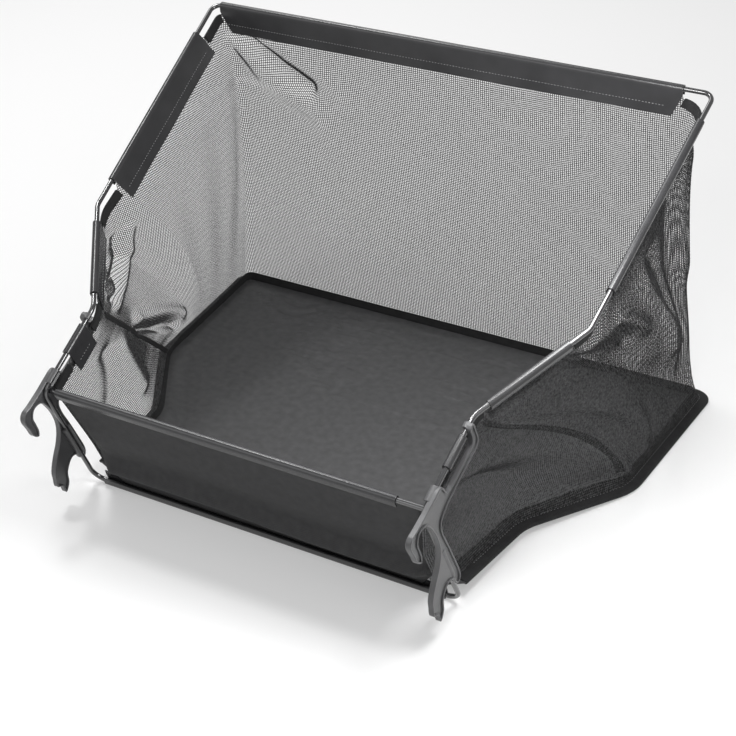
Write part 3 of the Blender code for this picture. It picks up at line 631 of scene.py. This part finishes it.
# Each fold: its lift out of the bag, its width in metres and its line as points of (distance along
# the rim, share of the way down). A crease is a line with a lift one way beside one the other way.
folds = [
    (0.011, 0.0085, ((1.040, 0.18), (1.003, 0.26), (0.973, 0.33), (0.940, 0.38))),
    (-0.007, 0.011, ((1.050, 0.24), (1.010, 0.33), (0.975, 0.40), (0.930, 0.45))),
    (-0.004, 0.010, ((1.000, 0.19), (0.950, 0.28), (0.905, 0.36))),
    (0.002, 0.016, ((0.95, 0.50), (0.935, 0.60))),
    (0.002, 0.016, ((0.87, 0.38), (0.85, 0.48))),
    (0.0022, 0.026, ((0.60, 0.20), (0.62, 0.45), (0.60, 0.75))),
    (-0.0018, 0.024, ((0.70, 0.18), (0.72, 0.50))),
    (0.010, 0.007, ((1.350, 0.14), (1.375, 0.20), (1.397, 0.25))),
    (-0.008, 0.009, ((1.365, 0.16), (1.395, 0.20), (1.42, 0.26))),
    (0.008, 0.006, ((1.345, 0.30), (1.362, 0.355), (1.387, 0.325), (1.425, 0.285))),
    (-0.006, 0.008, ((1.330, 0.33), (1.350, 0.40), (1.395, 0.38), (1.43, 0.33))),
    (0.008, 0.008, ((1.445, 0.60), (1.42, 0.74), (1.39, 0.88))),
    (-0.007, 0.010, ((1.425, 0.56), (1.40, 0.70), (1.37, 0.86))),
    (0.006, 0.012, ((1.49, 0.35), (1.52, 0.60), (1.53, 0.85))),
    (-0.005, 0.010, ((1.475, 0.45), (1.495, 0.75))),
    (-0.008, 0.010, ((0.030, 0.42), (0.050, 0.70), (0.062, 0.90), (0.083, 0.96))),
    (0.009, 0.016, ((0.045, 0.34), (0.072, 0.60), (0.090, 0.80), (0.110, 0.92))),
    (-0.010, 0.024, ((0.190, 0.28), (0.235, 0.52), (0.280, 0.76), (0.36, 0.88), (0.47, 0.95))),
    (0.009, 0.024, ((0.225, 0.26), (0.275, 0.44), (0.330, 0.62), (0.41, 0.76))),
    (0.007, 0.020, ((0.130, 0.40), (0.165, 0.66), (0.215, 0.88))),
    (0.005, 0.008, ((0.270, 0.36), (0.288, 0.46), (0.305, 0.55))),
    (-0.006, 0.009, ((0.258, 0.40), (0.274, 0.54))),
    (0.007, 0.012, ((0.335, 0.46), (0.352, 0.60), (0.375, 0.74))),
    (-0.007, 0.013, ((0.362, 0.42), (0.385, 0.62))),
    (-0.007, 0.018, ((0.42, 0.32), (0.41, 0.55), (0.43, 0.78))),
    (0.006, 0.016, ((0.455, 0.26), (0.46, 0.60))),
]
foldShape = {
    "height": 0.27,  # a wall's usual height, so that both directions are in metres
    "ripple": 0.0007,
    "rippleTurns": (71, 2, 5),  # along the rim, and how far and how fast it wanders on the way down
    "start": 0.18,
    "fade": 0.05,
}


def foldLift(d, v):
    # each fold's lift times the bell curve of the distance to its line, and a faint ripple
    f = foldShape
    x, y = np.broadcast_arrays(d, v * f["height"])
    total = np.zeros(x.shape)
    for lift, wide, line in folds:
        line = np.array(line) * (1, f["height"])
        nearest = np.full(x.shape, np.inf)
        for a, b in zip(line, line[1:]):
            leg = b - a
            share = np.clip(((x - a[0]) * leg[0] + (y - a[1]) * leg[1]) / (leg @ leg), 0, 1)
            away = np.hypot(x - a[0] - share * leg[0], y - a[1] - share * leg[1])
            nearest = np.minimum(nearest, away)
        total += lift * np.exp(-(nearest / wide) ** 2)
    turns, wander, sway = f["rippleTurns"]
    total += f["ripple"] * np.sin(d * turns + wander * np.sin(v * sway)) * np.sin(v * math.pi)
    return total * np.clip((v - f["start"]) / f["fade"], 0, 1) * np.clip((1 - v) / f["fade"], 0, 1)


def wallFrame(d):
    # rim point, direction down the cloth, direction out of the bag and the rim's drop
    point, inward, mitre = onLine(rim, d)
    lean = np.interp(d, leanKeys, leans)
    out = below * np.sin(lean)[..., None] - inward * np.cos(lean)[..., None]
    down = below * np.cos(lean)[..., None] + mitre * np.sin(lean)[..., None]
    return point, down, out, np.interp(d, dropKeys, drops)[..., None]


def wallPoints(d, v, inset=0.0):
    # v from 0 at the rim over the strip's share to 1 at the hem; a straight run, then a cubic that
    # falls almost plumb and flares out, or a straight line where taut. inset moves it into the bag.
    d, v = np.broadcast_arrays(np.asarray(d, float), np.asarray(v, float))
    point, down, out, seat = wallFrame(d)
    ground, groundIn, groundMitre = onLine(foot, np.interp(d, rimKeys, footKeys))
    base = point - out * (faceInset + inset)
    stripEnd = sleeveShape["strip"] + 2 * clothShape["gap"]
    knuckle = base + down * stripEnd
    fall = np.linalg.norm(ground - knuckle, axis=-1, keepdims=True)
    ground = ground + groundIn * inset
    first = knuckle + down * fall * clothShape["fallStart"]
    last = ground + zenith * fall * clothShape["fallEnd"] + groundMitre * clothShape["hangInset"]
    bend = clothShape["stripShare"]
    t = np.clip((v - bend) / (1 - bend), 0, 1)[..., None]
    s = 1 - t
    curve = knuckle * s ** 3 + first * 3 * s * s * t + last * 3 * s * t * t + ground * t ** 3
    taut = np.interp(d, *np.transpose(clothShape["taut"]))[..., None]
    curve = curve + (knuckle * s + ground * t - curve) * taut
    straight = base + down * (seat + (stripEnd - seat) * np.clip(v / bend, 0, 1)[..., None])
    return np.where((v < bend)[..., None], straight, curve) + out * foldLift(d, v)[..., None]


netShape = {
    "pitch": 0.0022,
    "yarn": 0.00091,
    "thick": 0.0006,
    "weave": 0.00016,  # how far a yarn goes over and under
    "firstRow": 0.4,  # height of the lowest row over the hem, in pitches
    "parts": 5,  # pieces of the wrap
}


def netLattice(columns, reference, pitch):
    # columns: dense grid (across, down, 3) of a wall. Finds the points where level rows meet
    # upright lines, which count their distance along each row from the reference column.
    height = columns[..., 2]
    top, bottom = height[:, 0], height[:, -1]
    levels = np.arange(bottom.min() + pitch * netShape["firstRow"], top.max() + pitch, pitch)
    count = len(columns)
    rows = np.empty((len(levels), count, 3))
    for k in range(count):  # heights fall down each column, so a level is found by interpolation
        rows[:, k] = sample(levels, height[k, ::-1], columns[k, ::-1])
    over = levels[:, None] > top[None, :]
    under = levels[:, None] < bottom[None, :]
    step = np.linalg.norm(np.diff(rows[..., :2], axis=1), axis=2)
    along = np.concatenate([np.zeros((len(levels), 1)), np.cumsum(step, 1)], 1)
    along -= along[:, reference:reference + 1]
    marks = np.arange(math.floor(along.min() / pitch) - 1, math.ceil(along.max() / pitch) + 2) * pitch
    lattice = np.empty((len(levels), len(marks), 3))
    state = np.zeros((len(levels), len(marks)), np.int8)
    position = np.arange(count)
    for j in range(len(levels)):
        lattice[j] = sample(marks, along[j], rows[j])
        near = np.rint(np.interp(marks, along[j], position)).astype(int)
        outside = over[j, near] | under[j, near] | (marks < along[j, 0]) | (marks > along[j, -1])
        state[j] = np.where(outside, 0, 2)
    inside = state == 2
    touch = np.zeros_like(inside)
    for shift, axis in ((1, 0), (-1, 0), (1, 1), (-1, 1)):
        touch |= np.roll(inside, shift, axis)
    state[~inside & touch] = 1  # first node past an edge, which sits on the edge itself
    return lattice, state


def netMesh(name, columns, reference, parts=1):
    # Flat yarns both ways, over and under each other at every crossing, each with a fin through it
    # that gives it thickness at a slant. parts cuts the lattice into pieces along the rows.
    pitch, yarn, weave, thick = (netShape[k] for k in ("pitch", "yarn", "weave", "thick"))
    points, state = netLattice(columns, reference, pitch)
    rowCount, markCount = state.shape
    level = unit(np.gradient(points, axis=1) + 1e-12)
    upright = unit(np.gradient(points, axis=0) + 1e-12)
    normal = unit(np.cross(level, upright) + 1e-12)
    j, i = np.meshgrid(np.arange(rowCount), np.arange(markCount), indexing="ij")
    wave = (np.where((i + j) % 2 == 0, 1.0, -1.0) * weave)[..., None] * normal
    half, fin = yarn / 2, thick / 2
    strips = [
        (points + wave, upright * half), (points + wave, normal * fin),
        (points - wave, level * half), (points - wave, normal * fin),
    ]
    vertices = np.concatenate([np.stack([p - w, p + w], 2).reshape(-1, 3) for p, w in strips])
    count = rowCount * markCount
    index = (j * markCount + i) * 2
    used, core = state > 0, state == 2
    linkLevel = used[:, :-1] & used[:, 1:] & (core[:, :-1] | core[:, 1:])
    linkUpright = used[:-1] & used[1:] & (core[:-1] | core[1:])
    filled = np.flatnonzero(core.any(0))
    cuts = np.linspace(filled[0] - 1, filled[-1] + 2, parts + 1).astype(int)
    made = []
    for k in range(parts):
        inside = (i >= cuts[k]) & (i < cuts[k + 1])
        faces = []
        for strip in range(4):
            link = linkLevel & inside[:, :-1] if strip < 2 else linkUpright & inside[:-1]
            rows, marks = np.nonzero(link)
            a = index[rows, marks] + 2 * count * strip
            b = (index[rows, marks + 1] if strip < 2 else index[rows + 1, marks]) + 2 * count * strip
            quads = np.stack([a, b, b + 1, a + 1], -1)
            faces.append(quads if strip < 2 else quads[:, ::-1])
        kept, faces = np.unique(np.concatenate(faces), return_inverse=True)
        label = name + str(k + 1) if parts > 1 else name
        obj = meshFrom(label, vertices[kept], faces.reshape(-1, 4), "net")
        area = float((core & inside).sum()) * pitch * pitch
        made.append((obj, area))
        print(obj.name, len(obj.data.polygons) * 2, "triangles,", round(area, 4), "square metres")
    return made


def panelHalf(height):
    # half the panel's width at a height along it over the bottom wire
    heights = [panelFull if h == 1 else h for h in clothShape["panelHeights"]]
    return np.interp(height, heights, clothShape["panelWidths"]) / 2


def panelPoint(x, height, inset=0.0):
    # on the plane behind both wires, moved into the bag by the inset
    height, inset = np.broadcast_arrays(np.asarray(height, float), inset)
    return (bottomWire - panelDown * height[..., None] - panelOut * (faceInset + inset)[..., None]
            + across * np.asarray(x)[..., None])


middleFace = -clothShape["thick"] / 2  # inset of the middle of a cloth


def sideColumns(side, count=120, down=90, turn=14):
    # dense grid of a side net: a bowed corner from the front panel's edge, then the wall to the seam
    v = np.linspace(0, 1, down)
    d = np.linspace(0, seams[0] - clothShape["gap"] / 2, count)
    if side < 0:
        d = rim["length"] - np.linspace(0, rim["length"] - seams[1] - clothShape["gap"] / 2, count)
    wall = wallPoints(d[:, None], v[None, :], middleFace)
    knuckle = panelFull - sleeveShape["strip"]
    lowest = clothShape["panelHeights"][1]
    height = np.interp(v, [0, clothShape["stripShare"], 1], [panelFull - clothShape["drop"], knuckle, lowest])
    edge = panelPoint(side * (panelHalf(height) + clothShape["gap"]), height, middleFace)
    bow = np.array([side * clothShape["cornerBow"][0], clothShape["cornerBow"][1], 0])
    share = np.linspace(0, 1, turn)[:-1, None, None]
    corner = edge * (1 - share) + wall[0] * share + bow * 4 * share * (1 - share)
    return np.concatenate([corner, wall])


def makeNets():
    # two side nets, and the wrap in parts from seam to seam
    for name, side in sides.items():
        obj, area = netMesh("netSide" + name.title(), sideColumns(side), 0)[0]
        finishPiece(obj, "net", "side_net_" + name)
    d = np.linspace(seams[0] + clothShape["gap"] / 2, seams[1] - clothShape["gap"] / 2, 1400)
    columns = wallPoints(d[:, None], np.linspace(0, 1, 150)[None, :], middleFace)
    middle = int(np.argmin(np.abs(columns[:, 0, 0])))
    for obj, area in netMesh("netWrap", columns, middle, netShape["parts"]):
        finishPiece(obj, "net", "net_wrap")


makeNets()
print("nets")


def clothSheet(name, grid, outward, finish, uv, thick):
    # grid (rows, columns, 3) as a surface that faces outward and is thickened that way; UV in metres
    faces = gridFaces(*grid.shape[:2])
    corner = grid.reshape(-1, 3)[faces[len(faces) // 2]]
    if np.cross(corner[1] - corner[0], corner[2] - corner[0]) @ np.array(outward) < 0:
        faces = faces[:, ::-1]
    obj = meshFrom(name, grid, faces, finish)
    addUV(obj, uv)
    solid = obj.modifiers.new("thickness", "SOLIDIFY")
    solid.thickness = thick
    solid.offset = 1
    return obj


def loft(name, rings, finish, along, around):
    # closed solid through rings (count, points, 3); along and around are its UV in metres
    obj = solidFrom(name, rings, ringFaces(*rings.shape[:2]), finish, 35)
    addUV(obj, np.stack(np.meshgrid(along, around, indexing="ij"), -1))
    return obj


# Front panel and floor

panelShape = {
    "rows": 60,
    "columns": 90,
    "creases": ((0.011, 0.036, 0.009), (0.0045, 0.088, 0.026), (0.0035, 0.019, 0.0025)),
    "sway": (0.002, 23),  # how far a crease wanders, and how fast across
    "drop": 0.004,  # and how far it drops from the middle to the right
    "flatSide": 0.06,
}


def makePanel():
    # stretched between the wires; each crease (out, height, width) is a bell curve of the height
    p, seat = panelShape, clothShape["seat"]
    heights = np.linspace(panelFull - seat, seat, p["rows"])[:, None]
    shares = np.linspace(-1, 1, p["columns"])[None, :]
    x = shares * panelHalf(heights)
    sway, turns = p["sway"]
    rise = heights + sway * np.sin(x * turns) + p["drop"] * shares
    bulge = sum(out * np.exp(-((rise - height) / wide) ** 2) for out, height, wide in p["creases"])
    bulge = bulge * np.clip((1 - np.abs(shares)) / p["flatSide"], 0, 1)
    heights = np.broadcast_to(heights, x.shape)
    obj = clothSheet("frontPanel", panelPoint(x, heights, -bulge), (0, -1, 0), "weave",
                     np.stack([x, heights], -1), clothShape["thick"])
    finishPiece(obj, "weave", "front_panel")


floorShape = {
    "rows": 150,
    "columns": 121,
    "crowd": 0.7,  # columns stand closer at the sides the further this is below 1
    "edgeSamples": 700,
    "fall": 0.018,  # distance in from the hem over which the cloth comes down to the ground
}


def makeFloor():
    # flat on the ground; near the hem it rises by a smooth step to lie between the hem's two layers
    c, f = clothShape, floorShape
    edgeHeight = (footBase - c["gap"] - c["thick"]) / 2
    reach = c["hemWidth"] - c["tape"] - c["gap"]
    line = onLine(foot, np.linspace(0, foot["length"] / 2, f["edgeSamples"]))[0]
    front = wireShape["frontY"] + sleeveOuter + c["gap"]
    point, inward, mitre = onLine(foot, np.interp(np.linspace(0, rim["arcs"][2][1], f["rows"]), rimKeys,
                                                  footKeys))
    edge = np.concatenate([[[c["panelWidths"][0] / 2, front, 0]], point - inward * reach])
    share = np.linspace(-1, 1, f["columns"])
    x = edge[:, :1] * (np.sign(share) * np.abs(share) ** f["crowd"])
    y = np.broadcast_to(edge[:, 1:2], x.shape)
    away = np.hypot(line[:, 0] - np.abs(x)[..., None], line[:, 1] - y[..., None])
    nearest, away = away.argmin(-1), away.min(-1)
    inside = (np.abs(x) < line[nearest, 0]) & (y < line[-1, 1])
    tuck = c["hemTuck"] + f["fall"] / 8
    near = np.clip((away * inside - tuck) / f["fall"], 0, 1)
    z = (line[nearest, 2] - footBase + edgeHeight) * (1 - near) ** 2 * (1 + 2 * near)
    z[0] = 0
    obj = clothSheet("floorPanel", np.stack([x, y, z], -1), (0, 0, 1), "ground", np.stack([x, y], -1),
                     c["thick"])
    finishPiece(obj, "weave", "floor_panel")


makePanel()
makeFloor()
print("front panel and floor")


# Hem and tapes

hemShape = {
    "samples": 500,
    "round": (0.0012, 0.0010, 0.0008),  # outer edge: inward, over the ground, under the top
    "puff": 0.0006,
    "crease": 0.0010,  # beside the fold between lip and upstand
    "bend": 0.06,  # share of the upstand that the fold takes
    "riseTo": 0.96,  # place on the wall that the upstand leans toward
}


def makeHem():
    # tape carried round the foot: under the floor, over its edge, along the lip and up the wall inside
    c, h = clothShape, hemShape
    d = np.linspace(0, rim["length"], h["samples"])
    ground, inward, mitre = onLine(foot, np.interp(d, rimKeys, footKeys))
    rise = unit(wallPoints(d, h["riseTo"]) - wallPoints(d, 1.0)) * c["hemUpstand"]
    base = footBase - c["gap"]
    low = ground - zenith * footBase
    inner, tape, width = -2 * c["gap"], c["tape"], c["hemWidth"]
    side, under, over = h["round"]

    def at(out, height, up=0.0):
        return low - inward * out + zenith * height + rise * up

    rings = np.stack([
        at(-c["hemTuck"], 0), at(width - side, 0), at(width, under), at(width, base - over),
        at(width - side, base + h["puff"] / 3), at(width / 2, base + h["puff"]),
        at(inner + h["crease"], base), at(inner, base, h["bend"]), at(inner, base, 1),
        at(inner - tape, base, 1), at(inner - tape, base - tape),
        at(width - tape, base - tape), at(width - tape, tape), at(-c["hemTuck"], tape),
    ], 1)
    obj = loft("hemBinding", rings, "tape", lengthsAlong(ground), lengthsAlong(rings[h["samples"] // 2]))
    finishPiece(obj, "tape", "hem_binding")


tapeShape = {
    "shoulder": 0.6,  # how far the folded edge of a rim tape is rounded, in tapes
    "seamEnds": (0.215, 0.945),  # shares of the way down
    "ridge": ((0.3, 0.5), (0, 1), (-0.3, 0.5)),  # shares of the half width and of the ridge's height
}


def makeRimTapes():
    # tape folded over the cloth's upper edge, on every stretch between two sleeves
    c = clothShape
    clear, tape, width = c["tapeClear"], c["tape"], c["rimTape"]
    ends = [0, *np.ravel(spans), rim["length"]]
    outer, edge = c["thick"] + clear, tape * tapeShape["shoulder"]
    section = np.array([
        (-clear, width), (-clear, -clear), (outer, -clear), (outer, width), (outer + tape, width),
        (outer + tape, -clear), (outer + edge, -clear - tape), (-clear - edge, -clear - tape),
        (-clear - tape, -clear), (-clear - tape, width)])
    places = ["neck", "knee", "shoulder", "rear"]
    names = [p.title() + "Right" for p in places] + [p.title() + "Left" for p in places[::-1]]
    for name, start, end in zip(names, ends[::2], ends[1::2]):
        start += c["dropRamp"] if start > 0 else c["gap"]
        end -= c["dropRamp"] if end < rim["length"] else c["gap"]
        point, down, out, drop = wallFrame(np.linspace(start, end, 40))
        top = point - out * faceInset + down * drop
        rings = (top[:, None] + out[:, None] * section[None, :, :1]
                 + unit(down)[:, None] * section[None, :, 1:])
        obj = loft("rimTape" + name, rings, "tape", lengthsAlong(top), lengthsAlong(section))
        finishPiece(obj, "tape")


def makeSeamTapes():
    # ridged tape inside each seam of the net, at an inset of the wall
    c = clothShape
    half, low, high = c["seamTape"] / 2, c["tapeClear"], c["tapeClear"] + c["tape"]
    offsets = [(-half, low), (0, low), (half, low), (half, high)]
    offsets += [(half * x, high + c["seamRidge"] * y) for x, y in tapeShape["ridge"]] + [(-half, high)]
    v = np.linspace(*tapeShape["seamEnds"], 70)
    for side, seam in (("Right", seams[0]), ("Left", seams[1])):
        rings = np.stack([wallPoints(seam + o, v, inset) for o, inset in offsets], 1)
        obj = loft("seamTape" + side, rings, "tape", lengthsAlong(rings[:, 0]), lengthsAlong(offsets))
        finishPiece(obj, "tape")


makeHem()
makeRimTapes()
makeSeamTapes()
print("hem and tapes")


# Sleeves and their stitches

def sleeveSection(strip):
    # channel round the wire with a short outer lip and a long inner strip; x down the cloth, y outward
    angle = np.radians(np.linspace(90, 270, 25))
    turn = np.stack([np.cos(angle), np.sin(angle)], -1)
    run = np.linspace(sleeveShape["turnEnd"], strip, 8)
    stripOut = np.stack([run, np.full(8, -sleeveOuter)], -1)
    stripIn = np.stack([run[::-1], np.full(8, -sleeveInner)], -1)
    lip, half = sleeveShape["lip"], sleeveShape["wall"] / 2
    lips = [(lip, sleeveInner - half), (lip, sleeveOuter - half)]
    return np.concatenate([turn * sleeveOuter, stripOut, stripIn, turn[::-1] * sleeveInner, lips])


def stripWave(z, length, share):
    # slow wave along a strip, toward the bag, by the square of the share of its width
    return -sleeveShape["wave"] * (1 + np.sin(z * sleeveShape["waveTurns"] + length * 40)) * share ** 2


stitches = []
threadShape = {
    "pitch": 0.0034,
    "long": 0.0023,
    "under": 0.0001,  # how far a row stands off its strip
    "wide": 0.0007,
    "high": 0.0003,
    "share": 0.66,  # of a strip's width
    "end": 0.004,
    "hemPitch": 0.004,
    "hemPlace": (0.0022, 0.0009),  # out from the foot line and up
}
diamond = np.array([(k, (k + 1) % 4, 4) for k in range(4)] + [((k + 1) % 4, k, 5) for k in range(4)])


def sewLine(points, out, pitch):
    # a stitch at every pitch of the line; kept as (centre, half length, half width, height) of each
    run = lengthsAlong(points)
    marks = np.arange(pitch, run[-1] - pitch, pitch)
    centre = sample(marks, run, points)
    along = unit(sample(marks + 1e-3, run, points) - centre)
    out = np.broadcast_to(out, centre.shape)
    stitches.append((centre, along * threadShape["long"] / 2, np.cross(along, out) * threadShape["wide"] / 2,
                     out * threadShape["high"]))


def makeSleeve(name, node, start, end, down, strip, cuts=(0, 0)):
    # the section carried straight from start to end; the cuts slant the strip's ends
    along = unit(end - start)
    outward = unit(np.cross(down, along))
    if outward @ ((start + end) * (1, 1, 0)) < 0:
        outward = -outward
    section = sleeveSection(strip)
    length = np.linalg.norm(end - start)
    share = np.linspace(0, 1, max(4, int(length / sleeveShape["ringStep"])))
    slant = np.clip((section[:, 0] - sleeveShape["lip"]) / (strip - sleeveShape["lip"]), 0, 1)
    first, last = slant * cuts[0], length - slant * cuts[1]
    z = first + (last - first) * share[:, None]
    wave = stripWave(z, length, np.clip(section[:, 0], 0, strip) / strip)
    rings = (start + along * z[..., None] + down * section[None, :, :1]
             + outward * (section[None, :, 1:] + wave[..., None]))
    obj = loft(name, rings, "sleeve", share * length, lengthsAlong(section))
    finishPiece(obj, "sleeve", node)
    if strip > sleeveShape["sewnFrom"]:
        t = threadShape
        z = np.linspace(t["end"], length - t["end"] - cuts[1], 80)
        dip = stripWave(z, length, t["share"]) - sleeveOuter - t["under"]
        path = start + along * z[:, None] + down * strip * t["share"] + outward * dip[:, None]
        sewLine(path, -outward, t["pitch"])


def makeSleeves():
    # three on each side of the mouth, then the top, front and bottom ones; each strip leans inward
    s = sleeveShape
    order = {"short": ("neck", "knee"), "mid": ("knee", "shoulder"), "upper": ("shoulder", "rear")}
    for side, sign in sides.items():
        turn = np.array([sign, 1, 1])
        for label, (low, high) in order.items():
            run, length = s["upper"][side] if label == "upper" else s[label]
            lean = math.radians(clothShape["leans"][label + "_" + side])
            low, high = corners[low] * turn, corners[high] * turn
            along = unit(high - low)
            inward = unit(np.cross(mouthUp, along)) * sign
            cuts = (0, s["cuts"]["upper"][side]) if label == "upper" else (0, 0)
            start = low + along * run
            makeSleeve("sleeve" + label.title() + side.title(), f"sleeve_{label}_{side}", start,
                       start + along * length, below * math.cos(lean) + inward * math.sin(lean),
                       s["strip"], cuts)
    lean = math.radians(clothShape["leans"]["top"])
    topDown = below * math.cos(lean) - slope * math.sin(lean)
    for label, wire, down, strip in (("top", corners["rear"] * (0, 1, 1), topDown, s["strip"]),
                                     ("front", crossWire, panelDown, s["strip"]),
                                     ("bottom", bottomWire, -panelDown, s["bottomStrip"])):
        middle, half = wire + across * s[label][0], across * s[label][1] / 2
        makeSleeve("sleeve" + label.title(), "sleeve_" + label, middle - half, middle + half, down, strip,
                   s["cuts"].get(label, (0, 0)))


def makeStitches():
    # the hem's row, then every stitch of all rows as a diamond with a peak above and one below
    t = threadShape
    d = np.linspace(0.01, rim["length"] - 0.01, 600)
    ground, inward, mitre = onLine(foot, np.interp(d, rimKeys, footKeys))
    sewLine(ground - inward * t["hemPlace"][0] + zenith * t["hemPlace"][1], zenith, t["hemPitch"])
    centre, along, wide, up = (np.concatenate(part) for part in zip(*stitches))
    points = np.stack([centre - along, centre + wide, centre + along, centre - wide, centre + up,
                       centre - up], 1)
    faces = np.arange(len(centre))[:, None, None] * 6 + diamond
    obj = meshFrom("sewingThread", points, faces.reshape(-1, 3), "thread", smooth=False)
    outwardFaces(obj)
    finishPiece(obj, "tape")


makeSleeves()
makeStitches()
print("sleeves and stitches")


# Hooks: a plate with rims and pockets on both faces, and collars round the wire

hookShape = {
    "thick": 0.0058,
    "clear": 0.0002,
    "pocket": 0.0017,
    "rim": 0.0019,
    "round": 0.0006,
    "bevel": 0.65,  # where a rim's flat begins, as a share of the way from its inner edge out
    "roll": 0.0005,  # how far a rim falls to its pocket, and a collar's end is trimmed
    "collarWall": 0.0020,
    "collarSlot": 0.0034,
    "collars": (("side", 0.009, 0.025), ("side", 0.085, 0.0915), ("leg", 0.062, 0.110)),
    # millimetres along the side wire and down the leg from the neck corner
    "outline": ((23, -3.5), (10, -4), (-4, -4), (-20, -5), (-30, -6), (-35.5, 0), (-35, 14), (-34.5, 25),
                (-30, 32), (-26.5, 27), (-25.5, 17), (-24.5, 8), (-18, 2.5), (-8, 8), (-3.5, 24), (-2.5, 42),
                (-6, 57), (-15, 69), (-27, 78), (-37, 88), (-40.5, 97), (-43, 106), (-38, 113), (-38, 124),
                (-29, 119), (-23.5, 107), (-12, 101), (-4, 107), (-1.5, 118), (4, 120), (8.5, 112), (8.5, 90),
                (8, 67), (7, 44), (10, 31), (22, 25.5), (41, 24), (68, 24), (84, 24), (91, 18), (91.5, 8),
                (91, -3.5), (84, -3.5), (83.5, 6), (79, 13.5), (60, 15.5), (40, 15.5), (30, 12), (28, 2)),
}


def smoothClosed(knots, steps=5):
    # closed curve through the knots, each stretch a cubic set by its neighbours
    a, b, c, d = (np.roll(knots, 1 - k, 0)[:, None] for k in range(4))
    t = np.arange(steps)[None, :, None] / steps
    curve = 2 * b + (c - a) * t + (2 * a - 5 * b + 4 * c - d) * t ** 2 + (3 * b - a - 3 * c + d) * t ** 3
    return curve.reshape(-1, 2) / 2


def insetLoop(outline, distance, tries=14, crowded=0.86, shrink=0.8, ease=0.06):
    # each point moved inward along its normal; where the shape is narrow the step shrinks, and its
    # neighbours' with it, until the loop stays inside
    tangent = unit(np.roll(outline, -1, 0) - np.roll(outline, 1, 0))
    x, y = outline.T
    turn = np.sign(np.sum(x * np.roll(y, -1) - np.roll(x, -1) * y))
    normal = np.stack([-tangent[:, 1], tangent[:, 0]], -1) * turn
    reach = np.full(len(outline), distance)
    for step in range(tries):
        moved = outline + normal * reach[:, None]
        near = np.linalg.norm(moved[:, None] - outline[None], axis=2).min(1)
        reach = np.where(near < crowded * reach, reach * shrink, reach)
        reach = np.minimum(reach, (np.roll(reach, 1) + np.roll(reach, -1)) / 2 + distance * ease)
    return outline + normal * reach[:, None]


def makeHook(side):
    # an outline in the plane of the side wire and the leg: a web sunk between two faces, a rim band
    # round it whose section is carried from one pocket over the outside to the other, and collars
    h = hookShape
    neck = corners["neck"]
    along, leg = unit(corners["knee"] - neck), unit(corners["foot"] - neck)
    outward = unit(np.cross(along, leg))
    upright = np.cross(outward, along)
    if outward[0] < 0:
        outward = -outward
    cosine = along @ leg
    knots = np.array(h["outline"]) / 1000
    knots = np.stack([knots[:, 0] + knots[:, 1] * cosine, knots[:, 1] * math.sqrt(1 - cosine ** 2)], -1)
    outline = smoothClosed(knots)
    soft, rimmed = insetLoop(outline, h["round"]), insetLoop(outline, h["rim"])
    low, high = h["clear"], h["thick"]
    mirror = np.array([sides[side], 1, 1])

    def stack(levels):
        return np.stack([neck + loop[:, :1] * along + loop[:, 1:] * upright + outward * z
                         for loop, z in levels]) * mirror

    web = stack([(outline * 0.5 + soft * 0.5, z) for z in (low + h["pocket"], high - h["pocket"])])
    plate = loft("hookWeb" + side.title(), web, "hook", np.arange(2) * 0.002, lengthsAlong(web[0]))
    finishPiece(plate, "hook", "hook_" + side)
    bevel = rimmed * (1 - h["bevel"]) + soft * h["bevel"]
    half = [(rimmed, h["roll"]), (bevel, 0), (soft, 0), (outline, h["round"])]
    band = stack([(loop, low + z) for loop, z in half] + [(loop, high - z) for loop, z in half[::-1]])
    band = solidFrom("hookRim" + side.title(), band, ringFaces(*band.shape[:2], closed=True), "hook", 40)
    finishPiece(band, "hook", "hook_" + side)
    makeCollars(side, neck, {"side": along, "leg": leg}, outward, mirror)


def makeCollars(side, neck, axes, outward, mirror):
    # slotted rings round the wire, open on the bag's side, with trimmed ends
    h = hookShape
    inner = wireRadius + h["clear"]
    outer = inner + h["collarWall"]
    half = math.asin(h["collarSlot"] / 2 / inner)
    angle = np.linspace(half, 2 * math.pi - half, 30)[:, None]
    for k, (name, start, end) in enumerate(h["collars"]):
        circle = -outward * np.cos(angle) + np.cross(axes[name], outward) * np.sin(angle)
        section, trimmed = (np.concatenate([circle * radius, circle[::-1] * inner])
                            for radius in (outer, outer - h["roll"]))
        rings = np.stack([neck + axes[name] * z + ring for ring, z in (
            (trimmed, start), (section, start + h["roll"]), (section, end - h["roll"]), (trimmed, end))])
        collar = loft(f"hookCollar{side.title()}{k + 1}", rings * mirror, "hook", np.arange(4) * 0.01,
                      lengthsAlong(section))
        finishPiece(collar, "hook", "hook_" + side)


for side in sides:
    makeHook(side)
print("hooks")
